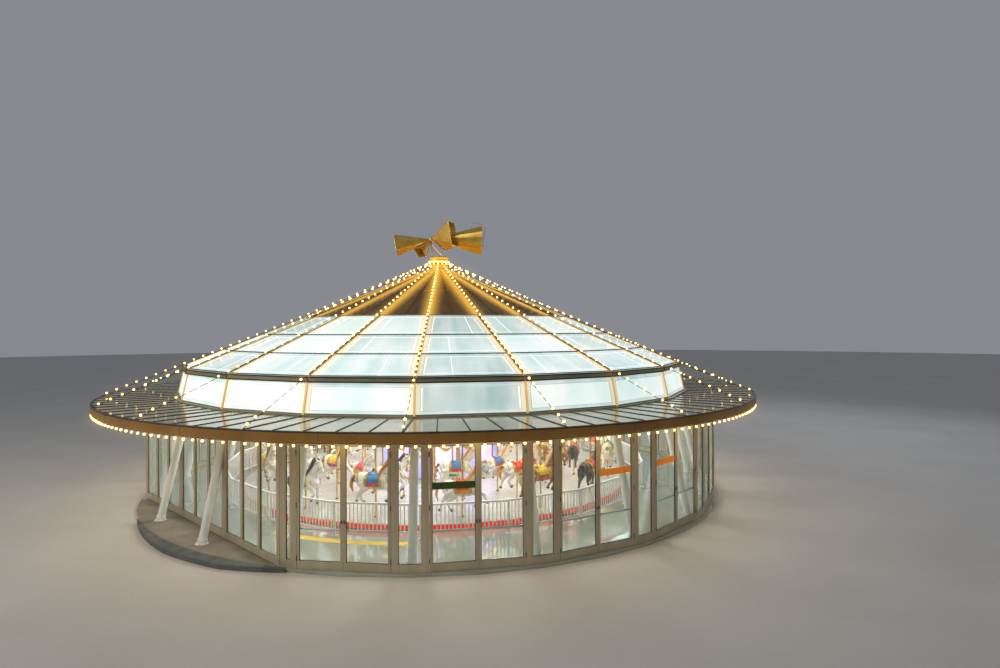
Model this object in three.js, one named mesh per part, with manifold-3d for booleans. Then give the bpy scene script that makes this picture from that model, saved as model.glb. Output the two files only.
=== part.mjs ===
// A fairground carousel in its round glass pavilion, at its real size in millimetres.
// The frame has +Z up, with the origin on the pavilion's axis at ground level.
// Angles are in degrees round the axis, from the front (-Y) towards the right (+X).
import * as THREE from 'three';
import { mergeVertices } from 'three/addons/utils/BufferGeometryUtils.js';
import Module from 'manifold-3d';

const wasm = await Module();
wasm.setup();

// Driving dimensions of the plan
const BAYS = 20;
const BAY_ANGLE = 360 / BAYS;
const FIRST_COLUMN_ANGLE = 1.57;
const DOOR_SPAN = 14;
const PANEL_SPAN = BAY_ANGLE - DOOR_SPAN;
const QUARTER_TURN = 2;
const WALL_RADIUS = 9800;
const RECESS_FIRST = -4;
const RECESS_LAST = -1;
const OPENING_BAYS = [-1, 0, 1, 2];
const SEAT_GAP = 0.3;
const SHORTEST_EDGE = 0.05;

// Floor and curb
const FLOOR_RADIUS = 9950;
const FLOOR_TOP = 50;
const CURB_HEIGHT = 120;
const CURB_RADIUS = 10300;
const CURB_START_ANGLE = -15;
const CURB_FULL_ANGLE = -24;
const CURB_TAPER_ANGLE = -36;
const CURB_END_ANGLE = -54;
const CURB_TIP = 40;

// Glazed wall
const FRAME_DEPTH = 60;
const HEAD_DEPTH = 90;
const SILL_HEIGHT = 190;
const LEAF_TOP = 2970;
const GLASS_TOP = 2870;
const HEAD_BOTTOM = 2980;
const HEAD_TOP = 3150;
const JAMB = 80;
const STILE = 60;
const PANE = 12;

// Door leaves
const LEAF_DEPTH = 50;
const LEAF_CLEARANCE = 8;
const LEAF_LIFT = 10;
const BARREL_RADIUS = 10;
const PUSH_BAR_HEIGHT = 950;
const PUSH_BAR_SIZE = 60;

// Leaning columns and rafters
const COLUMN_RADIUS = 105;
const COLUMN_FOOT = 9450;
const COLUMN_HEAD = 8480;
const COLUMN_TOP = 4160;
const BEAM_IN = 8400;
const BEAM_OUT = 8560;
const BEAM_BOTTOM = 4020;
const BEAM_TOP = 4300;
const RAFTER_WIDTH = 80;
const RAFTER_DEPTH = 150;
const PURLIN_WIDTH = 60;
const PURLIN_DEPTH = 80;
const PURLIN_DROP = 20;

// Conical roof
const EAVE_RADIUS = 8670;
const EAVE_HEIGHT = 4340;
const APEX_HEIGHT = 7880;
const ROOF_SLOPE = (APEX_HEIGHT - EAVE_HEIGHT) / EAVE_RADIUS;
const ROOF_SHEET = 20;
const ROOF_SHEET_DROP = ROOF_SHEET * Math.hypot(1, ROOF_SLOPE);
const CAP_SHARE = 0.552;
const PURLIN_SHARES = [0.552, 0.717, 0.857];
const CROWN_RING_IN = 300;
const CROWN_RING_OUT = 500;
const CROWN_RING_BOTTOM = 7450;
const CROWN_RING_TOP = 7640;

// Clerestory and gutter
const CLERESTORY_FOOT = 8870;
const CLERESTORY_HEAD = 8690;
const CLERESTORY_BOTTOM = 3405;
const GUTTER_BOTTOM = 4220;
const GUTTER_IN = 8600;
const GUTTER_LIP = 8690;
const GUTTER_OUT = 8760;
const GUTTER_FLOOR = 4312;

// Flat canopy
const CANOPY_RADIUS = 11100;
const CANOPY_TOP = 3400;
const FASCIA_BOTTOM = 3170;
const FASCIA_THICKNESS = 60;
const CANOPY_CURB_IN = 8860;
const CANOPY_CURB_OUT = 8950;
const ARM_WIDTH = 60;
const DECK_THICKNESS = 20;
const FASCIA_SIDES = 40;

// Peak and ornament
const COLLAR_RADIUS = 345;
const COLLAR_TOP = 8200;
const STAND_PLATE = 30;
const STRUT_RADIUS = 14;
const HUB = [-300, 0, 8900];
const HUB_RADIUS = 90;
const BOSS_LENGTH = 120;
const BOSS_RADIUS = 45;
const VANE_SHEET = 12;

// Strings of lights
const STRING_RADIUS = 8;
const STRING_PEAK_HEIGHT = 7960;
const RIM_STRING_RADIUS = 11070;
const HOOP_IN = COLLAR_RADIUS + 5;
const HOOP_OUT = HOOP_IN + 35;
const HOOP_DEPTH = 14;

// Picket fence round the ride
const FENCE_RADIUS = 7470;
const FENCE_HEIGHT = 910;
const FENCE_POST = 70;
const FENCE_RAIL_HEIGHTS = [180, 870];
const FENCE_RAIL = 45;

// Turning ride
const RANKS = 16;
const GROUPS = 8;
const RANK_ANGLE = 360 / RANKS;
const PLATFORM_IN = 2400;
const PLATFORM_OUT = 6900;
const PLATFORM_BOTTOM = 80;
const PLATFORM_TOP = 220;
const DRUM_RADIUS = 2200;
const DRUM_TOP = 2900;
const POLE_RADIUS = 160;
const POLE_TOP = 4250;
const BEARING_RADIUS = 300;
const BEARING_BOTTOM = 3600;
const BEARING_TOP = 3700;
const HUB_IN = 170;
const HUB_OUT = 800;
const HUB_TOP = 3950;
const SWEEP_WIDTH = 90;
const SWEEP_BOTTOM = 3720;
const SWEEP_TOP = 3880;
const ROUNDING_IN = 6880;
const ROUNDING_OUT = 6950;
const ROUNDING_BOTTOM = 3150;
const ROUNDING_TOP = 3900;
const MOUNT_POLE_RADIUS = 28;
const ROWS = [
  { radius: 6250, scale: 1.05, seat: 1120 },
  { radius: 5050, scale: 0.92, seat: 1250 },
  { radius: 3950, scale: 0.8, seat: 1050 },
];
const MOUNT_WIDTH = 280;
const MOUNT_LIFT = 100;
const MOUNT_OUTLINE = [
  [740, 390], [520, 690], [210, 250], [-80, 200], [-450, 280], [-720, -250], [-520, -130],
  [-640, -590], [-500, -600], [-320, -230], [240, -210], [340, -540], [460, -500],
  [490, 60], [530, 300],
];

// Materials
const material = (color, roughness, metalness) =>
  new THREE.MeshStandardMaterial({ color, roughness, metalness });
const glassMaterial = (color) =>
  new THREE.MeshStandardMaterial({ color, roughness: 0.2, metalness: 0, transparent: true, opacity: 0.4 });
const CONCRETE = material(0xb9b2a4, 0.8, 0);
const CHAMPAGNE = material(0xb7aa95, 0.4, 0.7);
const WHITE_PAINT = material(0xe6e8e6, 0.45, 0);
const BRONZE = material(0x6b4a2c, 0.45, 0.6);
const GOLDEN = material(0xa67a38, 0.35, 0.8);
const CLEAR_GLASS = glassMaterial(0xd8ebe8);
const FROSTED_GLASS = glassMaterial(0xe6f2f2);
const CABLE = material(0x2c2620, 0.6, 0);
const RED_PAINT = material(0xb02030, 0.4, 0);
const CREAM_PAINT = material(0xefe6d4, 0.4, 0);
const BLUE_PAINT = material(0x6a70b8, 0.4, 0);
const STEEL = material(0x8f9498, 0.4, 0.8);

// Helpers for solids
const radians = THREE.MathUtils.degToRad;
const polar = (radius, angle, height) =>
  new THREE.Vector3(radius * Math.sin(radians(angle)), -radius * Math.cos(radians(angle)), height);
const columnAngle = (index) => FIRST_COLUMN_ANGLE + BAY_ANGLE * index;
const roofHeight = (radius) => APEX_HEIGHT - ROOF_SLOPE * radius;
const underRoof = (radius) => roofHeight(radius) - ROOF_SHEET_DROP - SEAT_GAP;

function signedVolume(points, triangles) {
  let volume = 0;
  for (let i = 0; i < triangles.length; i += 3) {
    const [a, b, c] = [0, 1, 2].map((k) => new THREE.Vector3().fromArray(points, 3 * triangles[i + k]));
    volume += a.dot(b.cross(c)) / 6;
  }
  return volume;
}

// Turns a closed geometry into a solid, with its faces pointing out
function solid(geometry) {
  const bare = geometry.clone();
  bare.deleteAttribute('normal');
  bare.deleteAttribute('uv');
  const merged = mergeVertices(bare, 0.01);
  const points = new Float32Array(merged.attributes.position.array);
  const triangles = [];
  const index = merged.index.array;
  for (let i = 0; i < index.length; i += 3) {
    const [a, b, c] = [index[i], index[i + 1], index[i + 2]];
    if (a !== b && b !== c && c !== a) triangles.push(a, b, c);
  }
  if (signedVolume(points, triangles) < 0) triangles.reverse();
  const mesh = new wasm.Mesh({ numProp: 3, vertProperties: points, triVerts: new Uint32Array(triangles) });
  return new wasm.Manifold(mesh);
}

const join = (solids) => solids.reduce((whole, next) => whole.add(next));

// A ring, cone or disc round the axis, from a closed profile of [radius, height] points
function turned(profile, sides = BAYS, startAngle = FIRST_COLUMN_ANGLE) {
  const points = [...profile, profile[0]].map(([radius, height]) => new THREE.Vector2(radius, height));
  const geometry = new THREE.LatheGeometry(points, sides, radians(startAngle), 2 * Math.PI);
  return solid(geometry.rotateX(Math.PI / 2));
}

const ring = (inner, outer, bottom, top, sides, startAngle) =>
  turned([[inner, bottom], [outer, bottom], [outer, top], [inner, top]], sides, startAngle);

const disc = (radius, bottom, top, sides, startAngle = FIRST_COLUMN_ANGLE) => {
  const turn = radians(startAngle);
  const geometry = new THREE.CylinderGeometry(radius, radius, top - bottom, sides, 1, false, turn);
  return solid(geometry.rotateX(Math.PI / 2).translate(0, 0, (top + bottom) / 2));
};

// An upright prism over a plan outline of [x, y] points
function prism(outline, bottom, top) {
  const shape = new THREE.Shape(outline.map(([x, y]) => new THREE.Vector2(x, y)));
  const geometry = new THREE.ExtrudeGeometry(shape, { depth: top - bottom, bevelEnabled: false });
  return solid(geometry.translate(0, 0, bottom));
}

// The space between two angles, set back from both by half a gap
function wedge(startAngle, endAngle, gap = SEAT_GAP) {
  const reach = 20000;
  const steps = Math.max(2, Math.ceil((endAngle - startAngle) / 30));
  const outline = [[0, 0]];
  for (let i = 0; i <= steps; i += 1) {
    const edge = polar(reach, startAngle + ((endAngle - startAngle) * i) / steps, 0);
    outline.push([edge.x, edge.y]);
  }
  const half = radians((endAngle - startAngle) / 2);
  const shift = polar(gap / 2 / Math.sin(half), (startAngle + endAngle) / 2, 0);
  return prism(outline, -1000, 12000).translate([shift.x, shift.y, 0]);
}

// A straight bar of rectangular section between two points, with its depth along up
function bar(from, to, width, depth, up = new THREE.Vector3(0, 0, 1)) {
  const along = to.clone().sub(from);
  const side = new THREE.Vector3().crossVectors(up, along).normalize();
  const rise = new THREE.Vector3().crossVectors(along, side).normalize();
  const geometry = new THREE.BoxGeometry(along.length(), width, depth);
  const basis = new THREE.Matrix4().makeBasis(along.clone().normalize(), side, rise);
  basis.setPosition(from.clone().add(to).multiplyScalar(0.5));
  return solid(geometry.applyMatrix4(basis));
}

function rod(from, to, radius, sides = 8) {
  const along = to.clone().sub(from);
  const geometry = new THREE.CylinderGeometry(radius, radius, along.length(), sides);
  const turn = new THREE.Quaternion().setFromUnitVectors(new THREE.Vector3(0, 1, 0), along.normalize());
  geometry.applyQuaternion(turn);
  const middle = from.clone().add(to).multiplyScalar(0.5);
  return solid(geometry.translate(middle.x, middle.y, middle.z));
}

// A box on a flat side of the wall: across it, upward, and outward from its face
function facetBox(angle, distance, across, upward, outward) {
  const size = [across, upward, outward].map(([low, high]) => high - low);
  const middle = [across, upward, outward].map(([low, high]) => (low + high) / 2);
  const geometry = new THREE.BoxGeometry(...size).translate(...middle);
  const normal = polar(1, angle, 0);
  const tangent = new THREE.Vector3(0, 0, 1).cross(normal);
  const basis = new THREE.Matrix4().makeBasis(tangent, new THREE.Vector3(0, 0, 1), normal);
  basis.setPosition(normal.clone().multiplyScalar(distance));
  return solid(geometry.applyMatrix4(basis));
}

// Large rings are made in quarters of five bays, cut a little past the middle of a bay
const QUARTERS = ['front', 'right', 'back', 'left'].map((name, quarter) => {
  const columns = Array.from({ length: BAYS / 4 }, (_, i) => (quarter * BAYS) / 4 - 2 + i);
  const margin = BAY_ANGLE / 2;
  const start = columnAngle(columns[0]) - margin + QUARTER_TURN;
  const end = columnAngle(columns[columns.length - 1]) + margin + QUARTER_TURN;
  return { name, columns, space: wedge(start, end) };
});

const group = new THREE.Group();

function piece(name, body, look) {
  const { vertProperties, triVerts } = body.simplify(SHORTEST_EDGE).getMesh();
  const geometry = new THREE.BufferGeometry();
  geometry.setAttribute('position', new THREE.BufferAttribute(new Float32Array(vertProperties), 3));
  geometry.setIndex(new THREE.BufferAttribute(new Uint32Array(triVerts), 1));
  geometry.computeVertexNormals();
  const mesh = new THREE.Mesh(geometry, look);
  mesh.name = name;
  group.add(mesh);
}

// Plan outline of the wall: flat door and panel sides round the circle, and one straight side
const recessStart = columnAngle(RECESS_LAST);
const recessEnd = columnAngle(RECESS_FIRST + BAYS);
const wallCorners = [recessStart];
for (let index = RECESS_LAST; index < RECESS_FIRST + BAYS; index += 1) {
  wallCorners.push(columnAngle(index) + PANEL_SPAN / 2);
  wallCorners.push(columnAngle(index + 1) - PANEL_SPAN / 2);
}
wallCorners.push(recessEnd);

// Moves a closed plan outline outward by the same distance on every side
function offsetOutline(points, distance) {
  return points.map((point, i) => {
    const before = points[(i + points.length - 1) % points.length];
    const after = points[(i + 1) % points.length];
    const first = new THREE.Vector2(point.y - before.y, before.x - point.x).normalize();
    const second = new THREE.Vector2(after.y - point.y, point.x - after.x).normalize();
    const bisector = first.clone().add(second).normalize();
    const moved = bisector.multiplyScalar(distance / bisector.dot(first));
    return [point.x + moved.x, point.y + moved.y];
  });
}
const wallLine = wallCorners.map((angle) => polar(WALL_RADIUS, angle, 0));
const band = (inner, outer, bottom, top) =>
  prism(offsetOutline(wallLine, outer), bottom, top)
    .subtract(prism(offsetOutline(wallLine, inner), bottom - 10, top + 10));

// Distances from the axis to the flat sides
const doorDistance = WALL_RADIUS * Math.cos(radians(DOOR_SPAN / 2));
const doorHalf = WALL_RADIUS * Math.sin(radians(DOOR_SPAN / 2));
const panelDistance = WALL_RADIUS * Math.cos(radians(PANEL_SPAN / 2));
const panelHalf = WALL_RADIUS * Math.sin(radians(PANEL_SPAN / 2));
const recessAngle = (recessStart + recessEnd - 360) / 2;
const recessHalfAngle = (recessStart - (recessEnd - 360)) / 2;
const recessDistance = WALL_RADIUS * Math.cos(radians(recessHalfAngle));
const recessHalf = WALL_RADIUS * Math.sin(radians(recessHalfAngle));
const DOOR_GLASS_EDGE = JAMB + STILE;
const windowHeight = [SILL_HEIGHT + FLOOR_TOP, GLASS_TOP];
const cutDepth = [-200, 200];

// Window holes of one fixed bay on the round part: two leaves and the narrow panel before them
function bayWindows(index) {
  const middle = columnAngle(index) + BAY_ANGLE / 2;
  const edge = doorHalf - DOOR_GLASS_EDGE;
  return [
    facetBox(middle, doorDistance, [-edge, -STILE], windowHeight, cutDepth),
    facetBox(middle, doorDistance, [STILE, edge], windowHeight, cutDepth),
  ];
}

const panelWindow = (index) => {
  const edge = panelHalf - JAMB;
  return facetBox(columnAngle(index), panelDistance, [-edge, edge], windowHeight, cutDepth);
};

// A leaning round column, or with grow the space that it needs where it passes through the wall
function column(index, grow = 0) {
  const angle = columnAngle(index);
  const foot = polar(COLUMN_FOOT, angle, 0);
  const head = polar(COLUMN_HEAD, angle, COLUMN_TOP);
  const above = disc(FLOOR_RADIUS, FLOOR_TOP + SEAT_GAP, 9000, 20);
  return rod(foot, head, COLUMN_RADIUS + grow, 8).intersect(above);
}
const passingColumns = join([column(-2, 1), column(-3, 1)]);

// Floor and curb
piece('floor_slab', disc(FLOOR_RADIUS, 0, FLOOR_TOP, 40), CONCRETE);

// The curb follows the floor's edge and grows from a narrow tip at either end to its full width
function recessCurb() {
  const outline = [];
  const fullWidth = CURB_RADIUS - FLOOR_RADIUS;
  const inner = FLOOR_RADIUS - 100;
  const steps = 12;
  for (let i = 0; i <= steps; i += 1) {
    const angle = CURB_START_ANGLE + ((CURB_END_ANGLE - CURB_START_ANGLE) * i) / steps;
    const before = Math.max(0, (angle - CURB_FULL_ANGLE) / (CURB_START_ANGLE - CURB_FULL_ANGLE));
    const past = Math.max(0, (CURB_TAPER_ANGLE - angle) / (CURB_TAPER_ANGLE - CURB_END_ANGLE));
    const edge = polar(CURB_RADIUS - (before + past) * (fullWidth - CURB_TIP), angle, 0);
    outline.push([edge.x, edge.y]);
  }
  for (let i = steps; i >= 0; i -= 1) {
    const angle = CURB_START_ANGLE + ((CURB_END_ANGLE - CURB_START_ANGLE) * i) / steps;
    const edge = polar(inner, angle, 0);
    outline.push([edge.x, edge.y]);
  }
  const floorSpace = disc(FLOOR_RADIUS + SEAT_GAP, -10, CURB_HEIGHT + 10, 40);
  return prism(outline, 0, CURB_HEIGHT).subtract(floorSpace);
}
piece('recess_curb', recessCurb(), CONCRETE);

// Fixed glazed wall in three stretches, each with its own sheet of glass
const wallFrame = band(-FRAME_DEPTH / 2, FRAME_DEPTH / 2, FLOOR_TOP + SEAT_GAP, HEAD_BOTTOM - SEAT_GAP);
const glassFace = -FRAME_DEPTH / 2 - SEAT_GAP;
const wallGlass = band(glassFace - PANE, glassFace, FLOOR_TOP + SEAT_GAP, HEAD_BOTTOM - SEAT_GAP);
const jambAngle = THREE.MathUtils.radToDeg(JAMB / WALL_RADIUS);
const stretches = [
  { name: 'right', first: 3, last: 6 },
  { name: 'back', first: 7, last: 11 },
  { name: 'left', first: 12, last: 15 },
];
for (const { name, first, last } of stretches) {
  const opensBefore = OPENING_BAYS.includes(first - 1);
  const start = columnAngle(first) - PANEL_SPAN / 2 - (opensBefore ? jambAngle : 0);
  const meetsRecess = last === RECESS_FIRST + BAYS - 1;
  const end = meetsRecess ? recessEnd - jambAngle : columnAngle(last + 1) - PANEL_SPAN / 2;
  const space = wedge(start, end);
  let frame = wallFrame.intersect(space);
  for (let index = first; index <= last; index += 1) {
    for (const hole of [...bayWindows(index), panelWindow(index)]) frame = frame.subtract(hole);
  }
  piece(`wall_frame_${name}`, frame, CHAMPAGNE);
  piece(`wall_glass_${name}`, wallGlass.intersect(space), CLEAR_GLASS);
}

// Straight wall of the recess, in three bays
function recessWindows() {
  const bay = (2 * recessHalf) / 3;
  const holes = [];
  for (let index = 0; index < 3; index += 1) {
    const left = -recessHalf + index * bay + JAMB;
    const right = left + bay - 2 * JAMB;
    const third = (right - left) / 3;
    for (let leaf = 0; leaf < 3; leaf += 1) {
      const across = [left + leaf * third + STILE / 2, left + (leaf + 1) * third - STILE / 2];
      holes.push(facetBox(recessAngle, recessDistance, across, windowHeight, cutDepth));
    }
  }
  return holes;
}
const recessSpace = wedge(recessEnd - 360 - jambAngle, recessStart + jambAngle);
let recessFrame = wallFrame.intersect(recessSpace).subtract(passingColumns);
for (const hole of recessWindows()) recessFrame = recessFrame.subtract(hole);
piece('recess_wall_frame', recessFrame, CHAMPAGNE);
piece('recess_wall_glass', wallGlass.intersect(recessSpace).subtract(passingColumns), CLEAR_GLASS);

// Narrow fixed lights beside the doors that open
function sideLight(index) {
  const isFirst = index === RECESS_LAST;
  const start = isFirst ? recessStart + jambAngle : columnAngle(index) - PANEL_SPAN / 2 - jambAngle;
  const end = columnAngle(index) + PANEL_SPAN / 2 + jambAngle;
  const body = wallFrame.intersect(wedge(start, end));
  const edge = panelHalf - JAMB;
  const near = isFirst ? 2 * JAMB : -edge;
  const depths = [[-200, -PANE / 2], [PANE / 2, 200]];
  const hollows = depths.map((depth) =>
    facetBox(columnAngle(index), panelDistance, [near, edge], windowHeight, depth));
  return hollows.reduce((rest, hollow) => rest.subtract(hollow), body);
}
OPENING_BAYS.forEach((index, order) => piece(`side_light_${order + 1}`, sideLight(index), CHAMPAGNE));

const headRing = band(-HEAD_DEPTH / 2, HEAD_DEPTH / 2, HEAD_BOTTOM, HEAD_TOP);
piece('head_ring', headRing.subtract(passingColumns), CHAMPAGNE);

// Door leaves, hung on a round barrel at the outer face beside each jamb
const postEdge = doorHalf - JAMB;
function doorLeaf(index, side) {
  const middle = columnAngle(index) + BAY_ANGLE / 2;
  const outerFace = FRAME_DEPTH / 2;
  const innerFace = outerFace - LEAF_DEPTH;
  const bottom = FLOOR_TOP + LEAF_LIFT;
  const heel = postEdge - LEAF_CLEARANCE;
  const toe = LEAF_CLEARANCE / 2;
  const span = (near, far) => (side < 0 ? [-far, -near] : [near, far]);
  const box = (across, upward, outward) => facetBox(middle, doorDistance, across, upward, outward);
  const pane = (innerFace + outerFace) / 2;
  let leaf = box(span(toe, heel), [bottom, LEAF_TOP], [innerFace, outerFace]);
  const glass = span(toe + STILE, heel - STILE);
  leaf = leaf.subtract(box(glass, windowHeight, [pane + PANE / 2, outerFace + 50]));
  leaf = leaf.subtract(box(glass, windowHeight, [innerFace - 50, pane - PANE / 2]));
  const barHeight = [PUSH_BAR_HEIGHT - PUSH_BAR_SIZE / 2, PUSH_BAR_HEIGHT + PUSH_BAR_SIZE / 2];
  const pushBar = box(span(toe + 20, heel - 20), barHeight, [innerFace - PUSH_BAR_SIZE, innerFace + 2]);
  const hinge = hingeLine(index, side);
  const foot = new THREE.Vector3(hinge.x, hinge.y, FLOOR_TOP + SEAT_GAP);
  const head = new THREE.Vector3(hinge.x, hinge.y, LEAF_TOP);
  return join([leaf, pushBar, rod(foot, head, BARREL_RADIUS, 8)]);
}

// The hinge axis stands just outside the leaf's outer face, between leaf and jamb
function hingeLine(index, side) {
  const middle = columnAngle(index) + BAY_ANGLE / 2;
  const normal = polar(doorDistance + FRAME_DEPTH / 2 + BARREL_RADIUS - 1, middle, 0);
  const across = side * (postEdge - LEAF_CLEARANCE / 2 - 3);
  return normal.add(polar(across, middle + 90, 0));
}
OPENING_BAYS.forEach((index, order) => {
  piece(`door_${order + 1}_left_leaf`, doorLeaf(index, -1), CHAMPAGNE);
  piece(`door_${order + 1}_right_leaf`, doorLeaf(index, 1), CHAMPAGNE);
});

// Structural frame in four quarters: leaning columns, eaves beam, purlins and rafters
const purlin = (radius) => {
  const inner = radius - PURLIN_WIDTH / 2;
  const outer = radius + PURLIN_WIDTH / 2;
  const top = underRoof(outer) - PURLIN_DROP;
  return ring(inner, outer, top - PURLIN_DEPTH, top);
};
const rings = join([
  ring(BEAM_IN, BEAM_OUT, BEAM_BOTTOM, BEAM_TOP),
  ...PURLIN_SHARES.map((share) => purlin(EAVE_RADIUS * share)),
  ring(CROWN_RING_IN, CROWN_RING_OUT, CROWN_RING_BOTTOM, CROWN_RING_TOP),
]);

// A rafter under a rib, low enough for its edges to clear the flat sheets on both sides
function rafter(index) {
  const angle = columnAngle(index);
  const ridge = (RAFTER_WIDTH / 2) * Math.tan(radians(BAY_ANGLE / 2)) * ROOF_SLOPE;
  const drop = RAFTER_DEPTH / 2 + ridge;
  const outer = BEAM_OUT - 10;
  const inner = (CROWN_RING_IN + CROWN_RING_OUT) / 2;
  const from = polar(outer, angle, underRoof(outer) - drop);
  const to = polar(inner, angle, underRoof(inner) - drop);
  return bar(from, to, RAFTER_WIDTH, RAFTER_DEPTH * Math.cos(Math.atan(ROOF_SLOPE)));
}
for (const { name, columns, space } of QUARTERS) {
  const parts = [rings.intersect(space)];
  for (const index of columns) parts.push(column(index), rafter(index).intersect(space));
  piece(`roof_frame_${name}`, join(parts), WHITE_PAINT);
}

// Roof sheets, clerestory and gutter
const roofSheet = (inner, outer) =>
  turned([
    [inner, roofHeight(inner)],
    [outer, roofHeight(outer)],
    [outer, roofHeight(outer) - ROOF_SHEET_DROP],
    [inner, roofHeight(inner) - ROOF_SHEET_DROP],
  ]);
const capRadius = EAVE_RADIUS * CAP_SHARE;
piece('roof_glass', roofSheet(capRadius + SEAT_GAP, EAVE_RADIUS), FROSTED_GLASS);
piece('roof_cap', roofSheet(COLLAR_RADIUS + 20, capRadius), GOLDEN);
piece('clerestory_glass', turned([
  [CLERESTORY_FOOT - ROOF_SHEET, CLERESTORY_BOTTOM + SEAT_GAP],
  [CLERESTORY_FOOT, CLERESTORY_BOTTOM + SEAT_GAP],
  [CLERESTORY_HEAD, GUTTER_BOTTOM - SEAT_GAP],
  [CLERESTORY_HEAD - ROOF_SHEET, GUTTER_BOTTOM - SEAT_GAP],
]), FROSTED_GLASS);
piece('eave_gutter', turned([
  [GUTTER_IN, GUTTER_BOTTOM],
  [GUTTER_OUT, GUTTER_BOTTOM],
  [GUTTER_OUT, EAVE_HEIGHT],
  [GUTTER_LIP, EAVE_HEIGHT],
  [GUTTER_LIP, GUTTER_FLOOR],
  [GUTTER_IN, GUTTER_FLOOR],
]), BRONZE);

// Flat canopy: fascia, curb and arms in four frames, with a glazed deck on the arms
const armTop = CANOPY_TOP - DECK_THICKNESS - SEAT_GAP;
const armBottom = HEAD_TOP + SEAT_GAP;
function canopyArm(index) {
  const middle = (armTop + armBottom) / 2;
  const from = polar(CANOPY_CURB_IN + 30, columnAngle(index), middle);
  const to = polar(CANOPY_RADIUS - FASCIA_THICKNESS + 5, columnAngle(index), middle);
  return bar(from, to, ARM_WIDTH, armTop - armBottom);
}
const canopyRings = [
  ring(CANOPY_RADIUS - FASCIA_THICKNESS, CANOPY_RADIUS, FASCIA_BOTTOM, CANOPY_TOP, FASCIA_SIDES),
  ring(CANOPY_CURB_IN, CANOPY_CURB_OUT, armBottom, CLERESTORY_BOTTOM),
];
for (const { name, columns, space } of QUARTERS) {
  const parts = [...canopyRings.map((round) => round.intersect(space)), ...columns.map(canopyArm)];
  piece(`canopy_frame_${name}`, join(parts), BRONZE);
}
piece('canopy_deck', ring(
  CANOPY_CURB_OUT + SEAT_GAP,
  CANOPY_RADIUS - FASCIA_THICKNESS - SEAT_GAP,
  armTop + SEAT_GAP,
  CANOPY_TOP,
  FASCIA_SIDES,
), FROSTED_GLASS);

// Peak collar and ornament
piece('peak_collar', disc(COLLAR_RADIUS, CROWN_RING_TOP + SEAT_GAP, COLLAR_TOP, 16), GOLDEN);

const hub = new THREE.Vector3(...HUB);
const ball = (radius, centre) =>
  solid(new THREE.SphereGeometry(radius, 10, 6).rotateX(Math.PI / 2).translate(centre.x, centre.y, centre.z));
const standHead = new THREE.Vector3(hub.x, hub.y, hub.z - HUB_RADIUS - SEAT_GAP);
const bossFoot = new THREE.Vector3(hub.x, hub.y, standHead.z - BOSS_LENGTH);
const standFeet = [[-250, -120], [-200, 180], [160, -160], [180, 150]];
const strut = ([x, y]) => {
  const foot = new THREE.Vector3(x, y, COLLAR_TOP + STAND_PLATE / 2);
  return rod(foot, bossFoot.clone().add(new THREE.Vector3(0, 0, BOSS_LENGTH / 3)), STRUT_RADIUS, 6);
};
piece('ornament_stand', join([
  disc(COLLAR_RADIUS - 20, COLLAR_TOP + SEAT_GAP, COLLAR_TOP + STAND_PLATE, 16),
  rod(bossFoot, standHead, BOSS_RADIUS, 8),
  ...standFeet.map(strut),
]), GOLDEN);

// A vane is a sheet-metal cone, open at its mouth, from the hub outward
function vane(mouth, radius) {
  const along = mouth.clone().sub(hub);
  const length = along.length();
  const coneAxis = new THREE.Vector3(0, -1, 0);
  const turn = new THREE.Quaternion().setFromUnitVectors(coneAxis, along.clone().normalize());
  const place = (geometry) => {
    geometry.applyQuaternion(turn);
    return solid(geometry.translate(hub.x, hub.y, hub.z));
  };
  const cone = (grow) => new THREE.ConeGeometry(radius * (1 + grow), length * (1 + grow), 8);
  const outer = place(cone(0).translate(0, -length / 2, 0));
  const shift = (VANE_SHEET * Math.hypot(length, radius)) / radius;
  const inner = place(cone(0.3).translate(0, (-length * 1.3) / 2 - shift, 0));
  return outer.subtract(inner);
}
const vanes = [
  [new THREE.Vector3(1600, 150, 8880), 480],
  [new THREE.Vector3(560, -300, 9070), 440],
  [new THREE.Vector3(-1660, 0, 8620), 310],
  [new THREE.Vector3(-660, -450, 8350), 240],
  [new THREE.Vector3(200, 900, 9000), 400],
];
const vaneSolids = vanes.map(([mouth, radius]) => vane(mouth, radius));
piece('pinwheel', join([ball(HUB_RADIUS, hub), ...vaneSolids]), GOLDEN);

// Strings of lights: one from the peak along every rib to the rim, and one round the rim
const hoopHeight = [STRING_PEAK_HEIGHT - HOOP_DEPTH, STRING_PEAK_HEIGHT + HOOP_DEPTH];
const hoop = ring(HOOP_IN, HOOP_OUT, ...hoopHeight, BAYS, FIRST_COLUMN_ANGLE + BAY_ANGLE / 2);
const ribStrings = Array.from({ length: BAYS }, (_, index) => {
  const from = polar((HOOP_IN + HOOP_OUT) / 2, columnAngle(index), STRING_PEAK_HEIGHT);
  const to = polar(CANOPY_RADIUS - 20, columnAngle(index), CANOPY_TOP + STRING_RADIUS + 2);
  return rod(from, to, STRING_RADIUS, 4);
});
piece('roof_light_strings', join([hoop, ...ribStrings]), CABLE);
const rimTop = FASCIA_BOTTOM - SEAT_GAP;
piece('rim_light_string', ring(
  RIM_STRING_RADIUS - STRING_RADIUS,
  RIM_STRING_RADIUS + STRING_RADIUS,
  rimTop - 2 * STRING_RADIUS,
  rimTop,
  FASCIA_SIDES,
), CABLE);

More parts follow.
